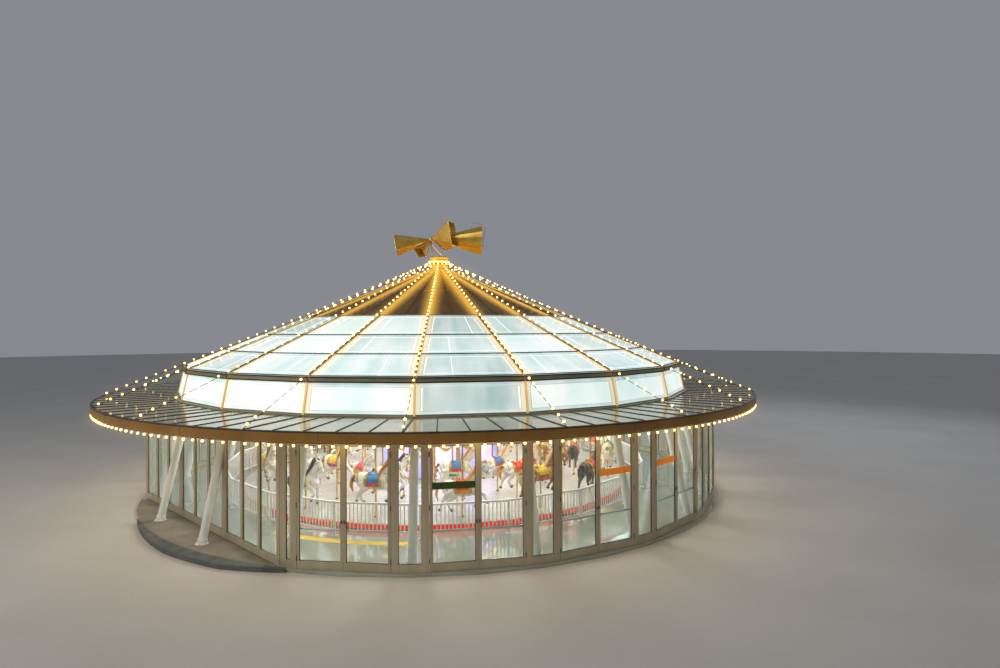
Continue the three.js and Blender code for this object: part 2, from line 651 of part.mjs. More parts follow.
// Picket fence: posts and rails
function fencePost(index) {
  const foot = polar(FENCE_RADIUS, columnAngle(index), FLOOR_TOP + SEAT_GAP);
  const head = polar(FENCE_RADIUS, columnAngle(index), FLOOR_TOP + FENCE_HEIGHT);
  return bar(foot, head, FENCE_POST, FENCE_POST, polar(1, columnAngle(index), 0));
}
const fenceRails = FENCE_RAIL_HEIGHTS.map((height) =>
  ring(FENCE_RADIUS - FENCE_RAIL / 2, FENCE_RADIUS + FENCE_RAIL / 2, height, height + 2 * FENCE_RAIL));
for (const { name, columns, space } of QUARTERS) {
  const parts = [...fenceRails.map((rail) => rail.intersect(space)), ...columns.map(fencePost)];
  piece(`picket_fence_${name}`, join(parts), WHITE_PAINT);
}

// Fixed middle of the ride
piece('centre_drum', disc(DRUM_RADIUS, FLOOR_TOP + SEAT_GAP, DRUM_TOP, RANKS, 0), BLUE_PAINT);
piece('centre_pole', join([
  disc(POLE_RADIUS, DRUM_TOP + SEAT_GAP, POLE_TOP, 12),
  disc(BEARING_RADIUS, BEARING_BOTTOM, BEARING_TOP, 12),
]), STEEL);

// Turning platform and hub
piece('platform', ring(PLATFORM_IN, PLATFORM_OUT, PLATFORM_BOTTOM, PLATFORM_TOP, 2 * RANKS, 0), RED_PAINT);
piece('sweep_hub', ring(HUB_IN, HUB_OUT, BEARING_TOP + SEAT_GAP, HUB_TOP, RANKS, 0), STEEL);

function mount(angle, row, lift) {
  const outline = MOUNT_OUTLINE.map(([x, y]) => new THREE.Vector2(x * row.scale, y * row.scale));
  const shape = new THREE.Shape(outline);
  const width = MOUNT_WIDTH * row.scale;
  const geometry = new THREE.ExtrudeGeometry(shape, { depth: width, bevelEnabled: false });
  geometry.translate(0, 0, -width / 2).rotateX(Math.PI / 2).rotateZ(radians(angle));
  const place = polar(row.radius, angle, row.seat + lift);
  const pole = rod(
    polar(row.radius, angle, PLATFORM_TOP + SEAT_GAP),
    polar(row.radius, angle, SWEEP_BOTTOM + 20),
    MOUNT_POLE_RADIUS,
    4,
  );
  return solid(geometry.translate(place.x, place.y, place.z)).add(pole);
}

// One eighth of the ride: two sweeps, the rounding board between them, and the mounts they carry
function rideSection(section) {
  const start = section * RANK_ANGLE * 2;
  const space = wedge(start, start + RANK_ANGLE * 2, 6);
  const rounding = ring(ROUNDING_IN, ROUNDING_OUT, ROUNDING_BOTTOM, ROUNDING_TOP, 2 * RANKS, 0);
  const parts = [rounding.intersect(space)];
  for (const rank of [2 * section, 2 * section + 1]) {
    const angle = (rank + 0.5) * RANK_ANGLE;
    const middle = (SWEEP_BOTTOM + SWEEP_TOP) / 2;
    const hubFace = HUB_OUT * Math.cos(radians(RANK_ANGLE / 2)) + SEAT_GAP;
    const from = polar(hubFace, angle, middle);
    const to = polar(ROUNDING_IN + 20, angle, middle);
    parts.push(bar(from, to, SWEEP_WIDTH, SWEEP_TOP - SWEEP_BOTTOM));
    ROWS.forEach((row, order) => {
      const lift = (rank + order) % 2 ? MOUNT_LIFT : -MOUNT_LIFT;
      parts.push(mount(angle, row, lift));
    });
  }
  return join(parts);
}
for (let section = 0; section < GROUPS; section += 1) {
  piece(`ride_section_${section + 1}`, rideSection(section), CREAM_PAINT);
}

export default group;
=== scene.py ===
"""A fairground carousel in its round glass pavilion: the finish of every surface.

All sizes are in metres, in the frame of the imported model: +Z up, the pavilion's axis at the origin.
Angles are in degrees round that axis, from the front (-Y) towards the right (+X).
"""
import math
import random

import bpy
from mathutils import Matrix, Vector


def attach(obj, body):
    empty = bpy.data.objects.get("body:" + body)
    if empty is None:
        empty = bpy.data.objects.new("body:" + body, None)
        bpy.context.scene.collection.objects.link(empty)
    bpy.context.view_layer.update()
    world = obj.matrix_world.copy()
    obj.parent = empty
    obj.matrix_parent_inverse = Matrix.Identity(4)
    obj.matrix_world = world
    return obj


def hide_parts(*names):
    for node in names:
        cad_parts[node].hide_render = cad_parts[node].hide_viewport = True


UP = Vector((0, 0, 1))
SIDE = Vector((0, 1, 0))
EVEN = (1, 1, 1)

# Camera: its roll is in radians
CAMERA_PLACE = (2.294, -24.0, 5.486)
CAMERA_LENS = 22.87
CAMERA_SHIFT = -0.0045
CAMERA_ROLL = 0.0037

# Plan of the building
BAYS = 20
BAY_ANGLE = 360 / BAYS
FIRST_COLUMN_ANGLE = 1.57
DOOR_SPAN = 14
PANEL_SPAN = BAY_ANGLE - DOOR_SPAN
WALL_RADIUS = 9.8
RECESS_FIRST, RECESS_LAST = -4, -1
RECESS_BAYS, RECESS_WINDOWS = 3, 3
OPENING_BAYS = (-1, 0, 1, 2)
QUARTERS = ("front", "right", "back", "left")
FLOOR_TOP = 0.05
FLOOR_RADIUS = 9.95
CURB_RADIUS = 10.3
CURB_TOP = 0.12
CURB_TIP = 0.04
CURB_START, CURB_FULL, CURB_TAPER, CURB_END = -15, -24, -36, -54

# Glazed wall
FRAME_DEPTH = (-0.03, 0.03)
LEAF_DEPTH = (-0.02, 0.03)
THRESHOLD_DEPTH = (-0.04, 0.034)
FRAME_BOTTOM = 0.05
LEAF_BOTTOM = 0.06
SILL_TOP = 0.24
GLASS_TOP = 2.87
LEAF_TOP = 2.97
HEAD_BOTTOM = 2.98
HEAD_TOP = 3.15
JAMB = 0.08
CORNER_POST = 0.16
CORNER_LAP = 0.002
STILE = 0.06
LEAF_GAP = 0.008
GASKET = 0.01
PUSH_BAR_HEIGHT = 0.95
LOCK_HEIGHT = 1.15
HINGE_HEIGHTS = (0.3, 1.5, 2.7)
BAND_HEIGHT = (1.9, 2.06)

# Columns and roof; a ring is given by its two radii and its two heights
COLUMN_RADIUS = 0.105
COLUMN_FOOT = 9.45
COLUMN_HEAD = 8.48
COLUMN_TOP = 4.16
COLUMN_COLLAR = 0.122
COLUMN_PLATE = 0.17
BOLT_CIRCLE = 0.145
EAVE_BEAM = ((8.4, 8.56), (4.02, 4.3))
CROWN_RING = ((0.3, 0.5), (7.45, 7.6))
EAVE_RADIUS = 8.67
EAVE_HEIGHT = 4.34
APEX_HEIGHT = 7.88
ROOF_SLOPE = (APEX_HEIGHT - EAVE_HEIGHT) / EAVE_RADIUS
CAP_SHARE = 0.552
CAP_SEAM_SHARE = 0.30
ROW_SHARES = (CAP_SHARE, 0.717, 0.857, 1.0)
RAFTER_WIDTH = 0.08
RAFTER_DEPTH = 0.137
RAFTER_DROP = 0.11
CLERESTORY_FOOT = 8.87
CLERESTORY_HEAD = 8.69
CLERESTORY_BOTTOM = 3.405
GUTTER_FACE = 8.76
GUTTER_BOTTOM = 4.22
CANOPY_RADIUS = 11.1
CANOPY_TOP = 3.4
FASCIA_BOTTOM = 3.17
UPSTAND_IN, UPSTAND_OUT = 8.86, 8.95
ARM_HEIGHT = 3.265
DECK_PANES = 5
COLLAR_RADIUS = 0.345
COLLAR_BOTTOM = 7.64
COLLAR_TOP = 8.2
HUB = Vector((-0.3, 0, 8.9))

# Strings of lights; each end of a string is a radius and a height
STRING_PEAK = (0.3675, 7.96)
STRING_RIM = (11.08, 3.41)
STRING_SAG = 0.07
RIM_STRING_RADIUS = 11.07
RIM_STRING_HEIGHT = 3.162
BULB_RADIUS = 0.03
RIB_BULBS = 38
RIM_BULBS = 245
COLLAR_BULBS = 24
STRING_STEPS = 12

# Fence and ride
FENCE_RADIUS = 7.47
FENCE_TOP = 0.96
FENCE_RAIL = 0.2
PICKETS = 22
RANKS = 16
RANK_ANGLE = 360 / RANKS
PLATFORM_IN = 2.4
PLATFORM_OUT = 6.9
PLATFORM_BOTTOM = 0.08
PLATFORM_TOP = 0.22
BOARDS = 24
DRUM_RADIUS = 2.2
DRUM_PLINTH = 0.3
DRUM_CORNICE = 2.64
DRUM_TOP = 2.9
PLATE_IN, PLATE_OUT = 0.18, 0.79
PLATE_BOTTOM, PLATE_TOP = 3.71, 3.95
SWEEP_BOTTOM = 3.72
SWEEP_MIDDLE = 3.8
ROUNDING_IN = 6.88
ROUNDING_BOTTOM = 3.15
ROUNDING_TOP = 3.9
RIDE_BULB_RADIUS = 0.024
SWEEP_BULBS, BOARD_BULBS, DRUM_BULBS = 12, 7, 6
# Rows of mounts: radius, scale and height of the seat
ROWS = ((6.25, 1.05, 1.12), (5.05, 0.92, 1.25), (3.95, 0.8, 1.05))
MOUNT_LIFT = 0.1
SKIN_VOXEL = 0.02
SKIN_SHARE = 0.24


def polar(radius, angle, height=0.0):
    turn = math.radians(angle)
    return Vector((radius * math.sin(turn), -radius * math.cos(turn), height))


def chord(radius, span):
    """Half the width of a flat side of a round plan, and its distance from the axis."""
    turn = math.radians(span / 2)
    return radius * math.sin(turn), radius * math.cos(turn)


def column_angle(index):
    return FIRST_COLUMN_ANGLE + BAY_ANGLE * index


def bays():
    """The angles of the two columns beside every bay."""
    return [(column_angle(index), column_angle(index + 1)) for index in range(BAYS)]


def roof_height(radius):
    return APEX_HEIGHT - ROOF_SLOPE * radius


def lerp(first, second, share):
    return first + (second - first) * share


def shares(count):
    """The middles of so many equal parts of a length, as shares of it."""
    return [(step + 0.5) / count for step in range(count)]


DOOR_HALF, DOOR_DISTANCE = chord(WALL_RADIUS, DOOR_SPAN)
PANEL_HALF, PANEL_DISTANCE = chord(WALL_RADIUS, PANEL_SPAN)
POST_EDGE = DOOR_HALF - JAMB


# Camera, light and floor

def make_camera():
    data = bpy.data.cameras.new("camera")
    data.sensor_width = 36
    data.lens = CAMERA_LENS
    data.shift_y = CAMERA_SHIFT
    data.clip_end = 500
    camera = bpy.data.objects.new("camera", data)
    camera.location = CAMERA_PLACE
    camera.rotation_euler = (math.radians(90), CAMERA_ROLL, 0)
    scene = bpy.context.scene
    scene.collection.objects.link(camera)
    scene.camera = camera
    scene.view_settings.view_transform = "Standard"


def add_light(name, kind, place, energy, colour, size, aim=None, mirrored=True):
    data = bpy.data.lights.new(name, kind)
    data.energy = energy
    data.color = colour
    if kind == "AREA":
        data.shape = "DISK"
        data.size = size
    else:
        data.shadow_soft_size = size
    light = bpy.data.objects.new(name, data)
    light.location = place
    light.visible_glossy = mirrored
    if aim is not None:
        light.rotation_mode = "QUATERNION"
        light.rotation_quaternion = (Vector(aim) - Vector(place)).to_track_quat("-Z", "Y")
    bpy.context.scene.collection.objects.link(light)


def add_ring_lights(name, count, radius, height, energy, colour, size, start=0.0):
    """Small lamps round the axis, which glass and polished faces don't mirror."""
    for index in range(count):
        place = polar(radius, start + 360 / count * index, height)
        add_light(f"{name}_{index}", "POINT", place, energy, colour, size, mirrored=False)


def make_studio():
    world = bpy.data.worlds.new("studio")
    world.use_nodes = True
    background = world.node_tree.nodes["Background"]
    feed(world.node_tree, background, color=(0.80, 0.84, 0.92), strength=0.30)
    bpy.context.scene.world = world
    add_light("key", "AREA", (-16, -26, 24), 2600, (1, 0.95, 0.88), 16, (0, 0, 3))
    add_light("fill", "AREA", (24, 14, 20), 1500, (0.9, 0.94, 1), 16, (0, 0, 3))
    add_light("side", "AREA", (-27, -16, 12), 1300, (1, 0.90, 0.76), 10, (0, 0, 2))
    add_light("hall", "AREA", (0, 0, 5.4), 1300, (1, 0.98, 0.95), 7, (0, 0, 0), mirrored=False)
    middle = column_angle(0) + BAY_ANGLE / 2
    add_ring_lights("ride", 8, 5.6, 3.42, 90, (1, 0.98, 0.96), 0.12)
    add_ring_lights("walk", BAYS // 2, 8.0, 3.75, 36, (0.96, 1, 0.94), 0.25, middle)
    add_ring_lights("porch", BAYS, 10.6, 3.02, 28, (1, 0.61, 0.17), 0.2, middle)


def add_lens_glow():
    """The soft glow of the bulbs in the picture; it treats only what is far brighter than the rest."""
    scene = bpy.context.scene
    scene.use_nodes = True
    tree = scene.node_tree
    tree.nodes.clear()
    layers = tree.nodes.new("CompositorNodeRLayers")
    glare = tree.nodes.new("CompositorNodeGlare")
    glare.glare_type = "BLOOM"
    feed(tree, glare, image=layers.outputs["Image"], threshold=1.7, smoothness=0.1, strength=0.8, size=0.045)
    feed(tree, tree.nodes.new("CompositorNodeComposite"), image=glare.outputs["Image"])


def make_floor():
    floor = Piece("stage_floor", "stage")
    floor.tube([-UP * 0.02, UP * 0.0], 150, 96)
    floor.build()


# Materials

def plug(tree, socket, value):
    """Links an input to another node's output, or gives it a plain value."""
    if isinstance(value, bpy.types.NodeSocket):
        tree.links.new(value, socket)
    else:
        socket.default_value = (*value, 1) if socket.type == "RGBA" else value


def feed(tree, node, **inputs):
    """Fills inputs of a node, each named in lower case, such as base_color."""
    for key, value in inputs.items():
        wanted = key.replace("_", " ")
        plug(tree, next(s for s in node.inputs if s.name.lower() == wanted), value)


def add_node(tree, kind, **inputs):
    node = tree.nodes.new(f"ShaderNode{kind}")
    feed(tree, node, **inputs)
    return node


def material(name, **inputs):
    made = bpy.data.materials.new(name)
    made.use_nodes = True
    tree = made.node_tree
    shader = tree.nodes["Principled BSDF"]
    feed(tree, shader, **inputs)
    return made, tree, shader


def noise(tree, scale, detail=3.0, stretch=EVEN):
    """Noise in the object's space, its scale in features per metre."""
    where = add_node(tree, "TexCoord").outputs["Object"]
    stretched = add_node(tree, "Mapping", vector=where, scale=stretch).outputs["Vector"]
    return add_node(tree, "TexNoise", vector=stretched, scale=scale, detail=detail).outputs["Fac"]


def blend_colours(tree, factor, low, high, start=0.35, end=0.65):
    node = add_node(tree, "ValToRGB", fac=factor)
    for element, position, colour in zip(node.color_ramp.elements, (start, end), (low, high)):
        element.position = position
        element.color = (*colour, 1)
    return node.outputs["Color"]


def spread_values(tree, factor, low, high, start=0.3, end=0.7):
    node = add_node(tree, "MapRange", value=factor, from_min=start, from_max=end, to_min=low, to_max=high)
    return node.outputs["Result"]


def arithmetic(tree, operation, first, second=0.0):
    node = add_node(tree, "Math")
    node.operation = operation
    plug(tree, node.inputs[0], first)
    plug(tree, node.inputs[1], second)
    return node.outputs["Value"]


def mix_colours(tree, factor, first, second):
    return add_node(tree, "MixRGB", fac=factor, color1=first, color2=second).outputs["Color"]


def roof_place(tree):
    """Where a point of the roof is: its angle round the axis and its distance out, from its height."""
    where = add_node(tree, "TexCoord").outputs["Object"]
    x, y, z = add_node(tree, "SeparateXYZ", vector=where).outputs
    angle = arithmetic(tree, "ARCTAN2", x, arithmetic(tree, "MULTIPLY", y, -1))
    fall = arithmetic(tree, "SUBTRACT", APEX_HEIGHT, z)
    return angle, arithmetic(tree, "MULTIPLY", fall, 1 / ROOF_SLOPE)


def rib_glow(tree, angle, radius, reach):
    """1 on the roof's ribs, where the bulbs shine, down to 0 at some distance from them."""
    turned = arithmetic(tree, "SUBTRACT", angle, math.radians(FIRST_COLUMN_ANGLE))
    apart = arithmetic(tree, "PINGPONG", turned, math.radians(BAY_ANGLE / 2))
    distance = arithmetic(tree, "MULTIPLY", apart, radius)
    return arithmetic(tree, "POWER", spread_values(tree, distance, 1, 0, 0, reach), 2)


def slope_streaks(tree, angle, radius, scale):
    """Noise drawn out down the slope of the roof."""
    across = arithmetic(tree, "MULTIPLY", angle, 7)
    along = arithmetic(tree, "MULTIPLY", radius, 0.12)
    drawn = add_node(tree, "CombineXYZ", x=across, y=along).outputs["Vector"]
    return add_node(tree, "TexNoise", vector=drawn, scale=scale).outputs["Fac"]


def add_grain(tree, shader, roughness, grain=40, bump=0.001, stretch=EVEN):
    """A fine grain in the gloss and in the relief."""
    fine = noise(tree, grain, 2.0, stretch)
    gloss = spread_values(tree, fine, max(roughness - 0.08, 0.02), roughness + 0.1)
    relief = add_node(tree, "Bump", strength=0.6, distance=bump, height=fine).outputs["Normal"]
    feed(tree, shader, roughness=gloss, normal=relief)


def surface(name, colour, second, roughness=0.5, patches=2.0, grain=40, bump=0.001, stretch=EVEN, **inputs):
    """A solid finish: two close colours in patches, with a grain in its gloss and relief."""
    made, tree, shader = material(name, **inputs)
    cloudy = noise(tree, patches, 4.0, stretch)
    feed(tree, shader, base_color=blend_colours(tree, cloudy, colour, second))
    add_grain(tree, shader, roughness, grain, bump, stretch)
    return made


def lit_surface(name, colour, second, strength, patches=1.0):
    """A surface that glows, with its brightness drifting between two colours."""
    made, tree, shader = material(name, roughness=0.3, emission_strength=strength)
    shade = blend_colours(tree, noise(tree, patches, 4.0), colour, second, 0.3, 0.7)
    feed(tree, shader, base_color=shade, emission_color=shade)
    return made


def frosted_glass(name, dim, bright, strength):
    """Frosted roof glass lit from behind, that light painted on as a glow: cloudy, streaked down its slope,
    dimmer towards the top, with a painted warm glow of the rib bulbs beside the ribs.
    """
    made, tree, shader = material(name, roughness=0.3, emission_strength=strength)
    angle, radius = roof_place(tree)
    mixed = arithmetic(tree, "ADD", noise(tree, 0.9, 4.0), slope_streaks(tree, angle, radius, 2.2))
    shade = blend_colours(tree, arithmetic(tree, "MULTIPLY", mixed, 0.5), dim, bright, 0.36, 0.64)
    # Painted shade: the glow turns greyer and dimmer towards the top of the roof
    upper = spread_values(tree, radius, 0.62, 0.12, 4.8, 7.8)
    shade = mix_colours(tree, upper, shade, (0.42, 0.53, 0.47))
    # Painted light: a warm glow of the rib bulbs beside each rib
    halo = arithmetic(tree, "MULTIPLY", rib_glow(tree, angle, radius, 0.4), 0.9)
    shade = mix_colours(tree, halo, shade, (1.0, 0.80, 0.46))
    feed(tree, shader, base_color=shade, emission_color=shade)
    return made


def lit_metal(name, dark, light, glow, reach, roughness=0.42, metallic=0.6):
    """Sheet metal of the roof, with the light of the bulbs beside the ribs painted on as a warm glow."""
    made, tree, shader = material(name, metallic=metallic, emission_strength=1.0)
    near_rib = rib_glow(tree, *roof_place(tree), reach)
    feed(tree, shader, base_color=blend_colours(tree, noise(tree, 1.8, 4.0), dark, light),
         emission_color=blend_colours(tree, near_rib, (0, 0, 0), glow, 0, 1))
    add_grain(tree, shader, roughness)
    return made


def glass(name, tint, clear, edge, roughness=0.02):
    """Thin glass that is clearest square on and more of a mirror at a glancing angle."""
    made, tree, shader = material(name, base_color=tint)
    facing = add_node(tree, "LayerWeight", blend=0.35).outputs["Facing"]
    feed(tree, shader, alpha=spread_values(tree, facing, clear, edge, 0.0, 1.0),
         roughness=spread_values(tree, noise(tree, 1.5), roughness, roughness + 0.06))
    made.surface_render_method = "BLENDED"
    return made


def bulb_material(name, colour, strength):
    made, tree, shader = material(name, base_color=(0.9, 0.7, 0.4), roughness=0.15)
    brighter = tuple(min(1.0, c * 1.15) for c in colour)
    feed(tree, shader, emission_color=blend_colours(tree, noise(tree, 30, 2.0), colour, brighter),
         emission_strength=strength)
    made.cycles.emission_sampling = "NONE"
    return made


def make_looks():
    """Every shared material, by name."""
    return {
        "stage": surface("pale_stage", (0.46, 0.45, 0.43), (0.5, 0.49, 0.47), 0.7, 0.3, 8),
        "aluminium": surface("champagne_aluminium", (0.43, 0.39, 0.27), (0.52, 0.47, 0.335), 0.38, 3, 90,
                             stretch=(1, 1, 0.06), metallic=0.3),
        "glass": glass("clear_wall_glass", (0.45, 0.56, 0.53), 0.03, 0.4),
        "gasket": surface("black_gasket", (0.02, 0.02, 0.02), (0.035, 0.033, 0.03), 0.6, grain=200),
        "dark_steel": surface("dark_steel", (0.10, 0.10, 0.11), (0.15, 0.15, 0.16), 0.35, grain=120,
                              metallic=0.8),
        "steel": surface("brushed_steel", (0.52, 0.53, 0.53), (0.62, 0.62, 0.61), 0.36, grain=120,
                         stretch=(1, 1, 0.1), metallic=0.85),
        "green_band": surface("green_band", (0.028, 0.07, 0.008), (0.04, 0.095, 0.012), 0.45, 6),
        # Orange paint with a faint painted glow
        "orange_band": surface("orange_band", (0.62, 0.19, 0.008), (0.72, 0.24, 0.012), 0.45, 6,
                               emission_color=(0.8, 0.22, 0.005), emission_strength=0.2),
        "white_steel": surface("white_painted_steel", (0.72, 0.76, 0.75), (0.80, 0.83, 0.81), 0.38, 1.2, 70),
        "rib": lit_metal("tan_rib_metal", (0.34, 0.28, 0.17), (0.44, 0.37, 0.24), (0.62, 0.40, 0.15), 0.12,
                         0.4, 0.35),
        "trim": surface("taupe_trim", (0.27, 0.245, 0.155), (0.35, 0.315, 0.21), 0.4, 1.5, 60, metallic=0.3),
        "dark_trim": surface("dark_trim", (0.035, 0.033, 0.03), (0.06, 0.055, 0.05), 0.45, metallic=0.4),
        "bronze": surface("bronze_fascia", (0.27, 0.125, 0.02), (0.36, 0.175, 0.035), 0.42, 1.2, 50,
                          stretch=(1, 1, 0.3), metallic=0.3),
        "cap": lit_metal("golden_cap_metal", (0.15, 0.08, 0.015), (0.23, 0.13, 0.03), (0.85, 0.46, 0.05),
                         0.42),
        "gold": surface("golden_metal", (0.58, 0.37, 0.065), (0.71, 0.48, 0.11), 0.32, 3, 80, metallic=0.8),
        "lit_gold": lit_metal("lit_golden_metal", (0.5, 0.33, 0.10), (0.62, 0.44, 0.16), (0.75, 0.44, 0.08),
                              0.1, 0.3),
        "roof_bright": frosted_glass("frosted_glass_bright", (0.70, 0.88, 0.86), (0.98, 1.0, 0.98), 0.76),
        "roof_even": frosted_glass("frosted_glass_even", (0.56, 0.76, 0.74), (0.94, 1.0, 0.98), 0.62),
        "roof_soft": frosted_glass("frosted_glass_soft", (0.46, 0.64, 0.63), (0.88, 0.97, 0.95), 0.52),
        # Painted light and painted shadow lines of the frame behind the frosted glass
        "ghost": lit_surface("inner_frame_glow", (0.94, 1.0, 0.98), (0.98, 1.0, 0.99), 0.9, 2),
        "shadow": lit_surface("inner_frame_shadow", (0.46, 0.60, 0.58), (0.60, 0.74, 0.72), 0.42, 2),
        "deck": glass("tinted_canopy_glass", (0.44, 0.40, 0.23), 0.80, 0.95, 0.06),
        "cable": surface("black_cable", (0.02, 0.018, 0.015), (0.04, 0.035, 0.03), 0.6, grain=200),
        "bulb": bulb_material("warm_bulb", (1.0, 0.54, 0.14), 4.5),
        "bulb_soft": bulb_material("warm_bulb_soft", (1.0, 0.78, 0.46), 3),
        "floor": surface("polished_floor", (0.26, 0.31, 0.26), (0.34, 0.39, 0.33), 0.12, 1.2, 30, 0.0003,
                         coat_weight=1.0, coat_roughness=0.04),
        "paving": surface("rough_paving", (0.17, 0.155, 0.125), (0.24, 0.215, 0.175), 0.85, 1.5, 30, 0.004),
        "yellow": surface("yellow_floor_paint", (0.85, 0.58, 0.04), (0.92, 0.66, 0.10), 0.3, 4),
        "concrete": surface("concrete", (0.07, 0.084, 0.083), (0.115, 0.132, 0.13), 0.8, 2.5, 25, 0.004),
        "fence": surface("white_fence_paint", (0.80, 0.80, 0.79), (0.88, 0.88, 0.86), 0.35, 4),
        # Red gloss paint with a painted glow
        "red": surface("red_gloss_paint_and_glow", (0.62, 0.008, 0.02), (0.72, 0.02, 0.035), 0.25, 3, coat_weight=0.5,
                       emission_color=(0.9, 0.01, 0.025), emission_strength=0.55),
        "rose": surface("rose_gloss_paint", (0.62, 0.16, 0.22), (0.7, 0.22, 0.28), 0.3, 3),
        "boards": surface("platform_boards", (0.40, 0.39, 0.365), (0.56, 0.545, 0.515), 0.3, 14, 60, 0.0008,
                          stretch=(0.08, 1, 1), coat_weight=0.4),
        "cream": surface("cream_paint", (0.77, 0.77, 0.72), (0.85, 0.85, 0.81), 0.3, 3, coat_weight=0.4),
        # Blue and violet panel paint with a painted glow
        "blue": lit_surface("blue_panel_paint_and_glow", (0.20, 0.26, 0.85), (0.48, 0.50, 1.0), 0.75, 1.2),
        "violet": lit_surface("violet_panel_paint_and_glow", (0.46, 0.38, 0.90), (0.74, 0.68, 1.0), 0.75, 1.2),
        "mirror": surface("mirror", (0.80, 0.83, 0.86), (0.86, 0.88, 0.9), 0.1, bump=0.0001, metallic=1.0),
        "brass": surface("polished_brass", (0.72, 0.48, 0.16), (0.82, 0.58, 0.24), 0.2, 6, 90, metallic=0.95),
    }


# Building meshes

BOX_FACES = ((0, 1, 3, 2), (4, 6, 7, 5), (0, 4, 5, 1), (2, 3, 7, 6), (0, 2, 6, 4), (1, 5, 7, 3))
SQUARE = ((-1, -1), (1, -1), (1, 1), (-1, 1))


class Piece:
    """Gathers the faces of one object, then makes it with its materials, which are named in looks."""

    def __init__(self, name, *materials):
        self.name = name
        self.materials = materials
        self.points = []
        self.faces = []
        self.marks = []

    def add(self, points, faces, look=0):
        """Adds faces; look is one of the piece's materials, by its name in looks or by its number."""
        start = len(self.points)
        mark = self.materials.index(look) if isinstance(look, str) else look
        self.points.extend(points)
        self.faces.extend(tuple(start + i for i in face) for face in faces)
        self.marks.extend([mark] * len(faces))

    def loft(self, rings, look=0, closed=False, capped=True, flipped=False):
        """Skins a row of rings of points; a closed row runs round to its first ring."""
        count = len(rings[0])
        total = count * len(rings)
        faces = []
        if capped and not closed:
            faces = [tuple(reversed(range(count))), tuple(range(total - count, total))]
        for i in range(len(rings) if closed else len(rings) - 1):
            for k in range(count):
                a, b = i * count + k, i * count + (k + 1) % count
                faces.append((a, b, (b + count) % total, (a + count) % total))
        if flipped:
            faces = [(face[0], *reversed(face[1:])) for face in faces]
        self.add([point for ring in rings for point in ring], faces, look)

    def box(self, across, outward, upward, place=None, look=0):
        """A box from three ranges; outward runs along -Y of the place."""
        corners = [Vector((x, -y, z)) for x in across for y in outward for z in upward]
        if place is not None:
            corners = [place @ corner for corner in corners]
        self.add(corners, BOX_FACES, look)

    def bar(self, start, end, width, depth, look=0, up=UP):
        along = (end - start).normalized()
        side = up.cross(along).normalized() * (width / 2)
        rise = along.cross(side).normalized() * (depth / 2)
        self.loft([[at + side * x + rise * y for x, y in SQUARE] for at in (start, end)], look)

    def tube(self, path, radii, sides=12, look=0, across=None):
        """A closed tube along a path; each radius is one number or a pair, across and upward."""
        rings = []
        for i, point in enumerate(path):
            along = (path[min(i + 1, len(path) - 1)] - path[max(i - 1, 0)]).normalized()
            guide = across or (UP if abs(along.z) < 0.9 else Vector((1, 0, 0)))
            rise = along.cross(guide).normalized()
            side = rise.cross(along).normalized()
            radius = radii[i] if isinstance(radii, (list, tuple)) else radii
            wide, high = radius if isinstance(radius, tuple) else (radius, radius)
            turns = [2 * math.pi * k / sides for k in range(sides)]
            rings.append([point + side * (wide * math.cos(turn)) + rise * (high * math.sin(turn))
                          for turn in turns])
        self.loft(rings, look)

    def turned(self, profile, sides=80, look=0, start=FIRST_COLUMN_ANGLE, span=360.0):
        """A closed profile of (radius, height) points turned round the axis."""
        whole = span >= 360
        rings = [[polar(radius, start + span * i / sides, height) for radius, height in profile]
                 for i in range(sides if whole else sides + 1)]
        self.loft(rings, look, closed=whole, flipped=True)

    def ring(self, radii, heights, sides, look=0, start=FIRST_COLUMN_ANGLE, span=360.0):
        """A ring with a rectangular section."""
        (inner, outer), (low, high) = radii, heights
        self.turned([(inner, low), (outer, low), (outer, high), (inner, high)], sides, look, start, span)

    def slab(self, corners, thickness, look=0, lift=0.0):
        """A flat panel: the corners' outline, lifted off its plane and thickened inward."""
        normal = (corners[1] - corners[0]).cross(corners[-1] - corners[0]).normalized()
        levels = (lift, lift - thickness)
        self.loft([[corner + normal * level for corner in corners] for level in levels], look, flipped=True)

    def ball(self, centre, radius, look=0, sides=8, rings=5):
        """A globe, with its poles up and down."""
        turns = [math.pi * (0.04 + 0.92 * i / rings) for i in range(rings + 1)]
        path = [centre + UP * (radius * math.cos(turn)) for turn in turns]
        self.tube(path, [radius * math.sin(turn) for turn in turns], sides, look)

    def mesh(self, sharp=35):
        data = bpy.data.meshes.new(self.name)
        data.from_pydata(self.points, [], self.faces)
        for key in self.materials:
            data.materials.append(looks[key])
        data.polygons.foreach_set("material_index", self.marks)
        data.polygons.foreach_set("use_smooth", [True] * len(self.faces))
        data.update()
        data.set_sharp_from_angle(angle=math.radians(sharp))
        return data

    def build(self, bevel=0.0, sharp=35):
        made = bpy.data.objects.new(self.name, self.mesh(sharp))
        bpy.context.scene.collection.objects.link(made)
        if bevel:
            edges = made.modifiers.new("edges", "BEVEL")
            edges.width = bevel
            edges.segments = 1
            edges.limit_method = "ANGLE"
            edges.angle_limit = math.radians(50)
        return made


def place_piece(piece, body="root", replaces=(), bevel=0.0, sharp=35):
    """Makes the piece, lets it move with its body and hides the nodes it stands for."""
    made = piece.build(bevel, sharp)
    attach(made, body)
    if replaces:
        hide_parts(*replaces)


def dress(name, look):
    """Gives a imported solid, which keeps its shape, a finished material."""
    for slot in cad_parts[name].material_slots:
        slot.material = looks[look]


def flat_side(angle, distance):
    """The place of a flat side of a round plan: X across it, Y inward, Z up."""
    outward = polar(1, angle)
    across = UP.cross(outward)
    turn = Matrix((across, -outward, UP)).transposed().to_4x4()
    return Matrix.Translation(outward * distance) @ turn


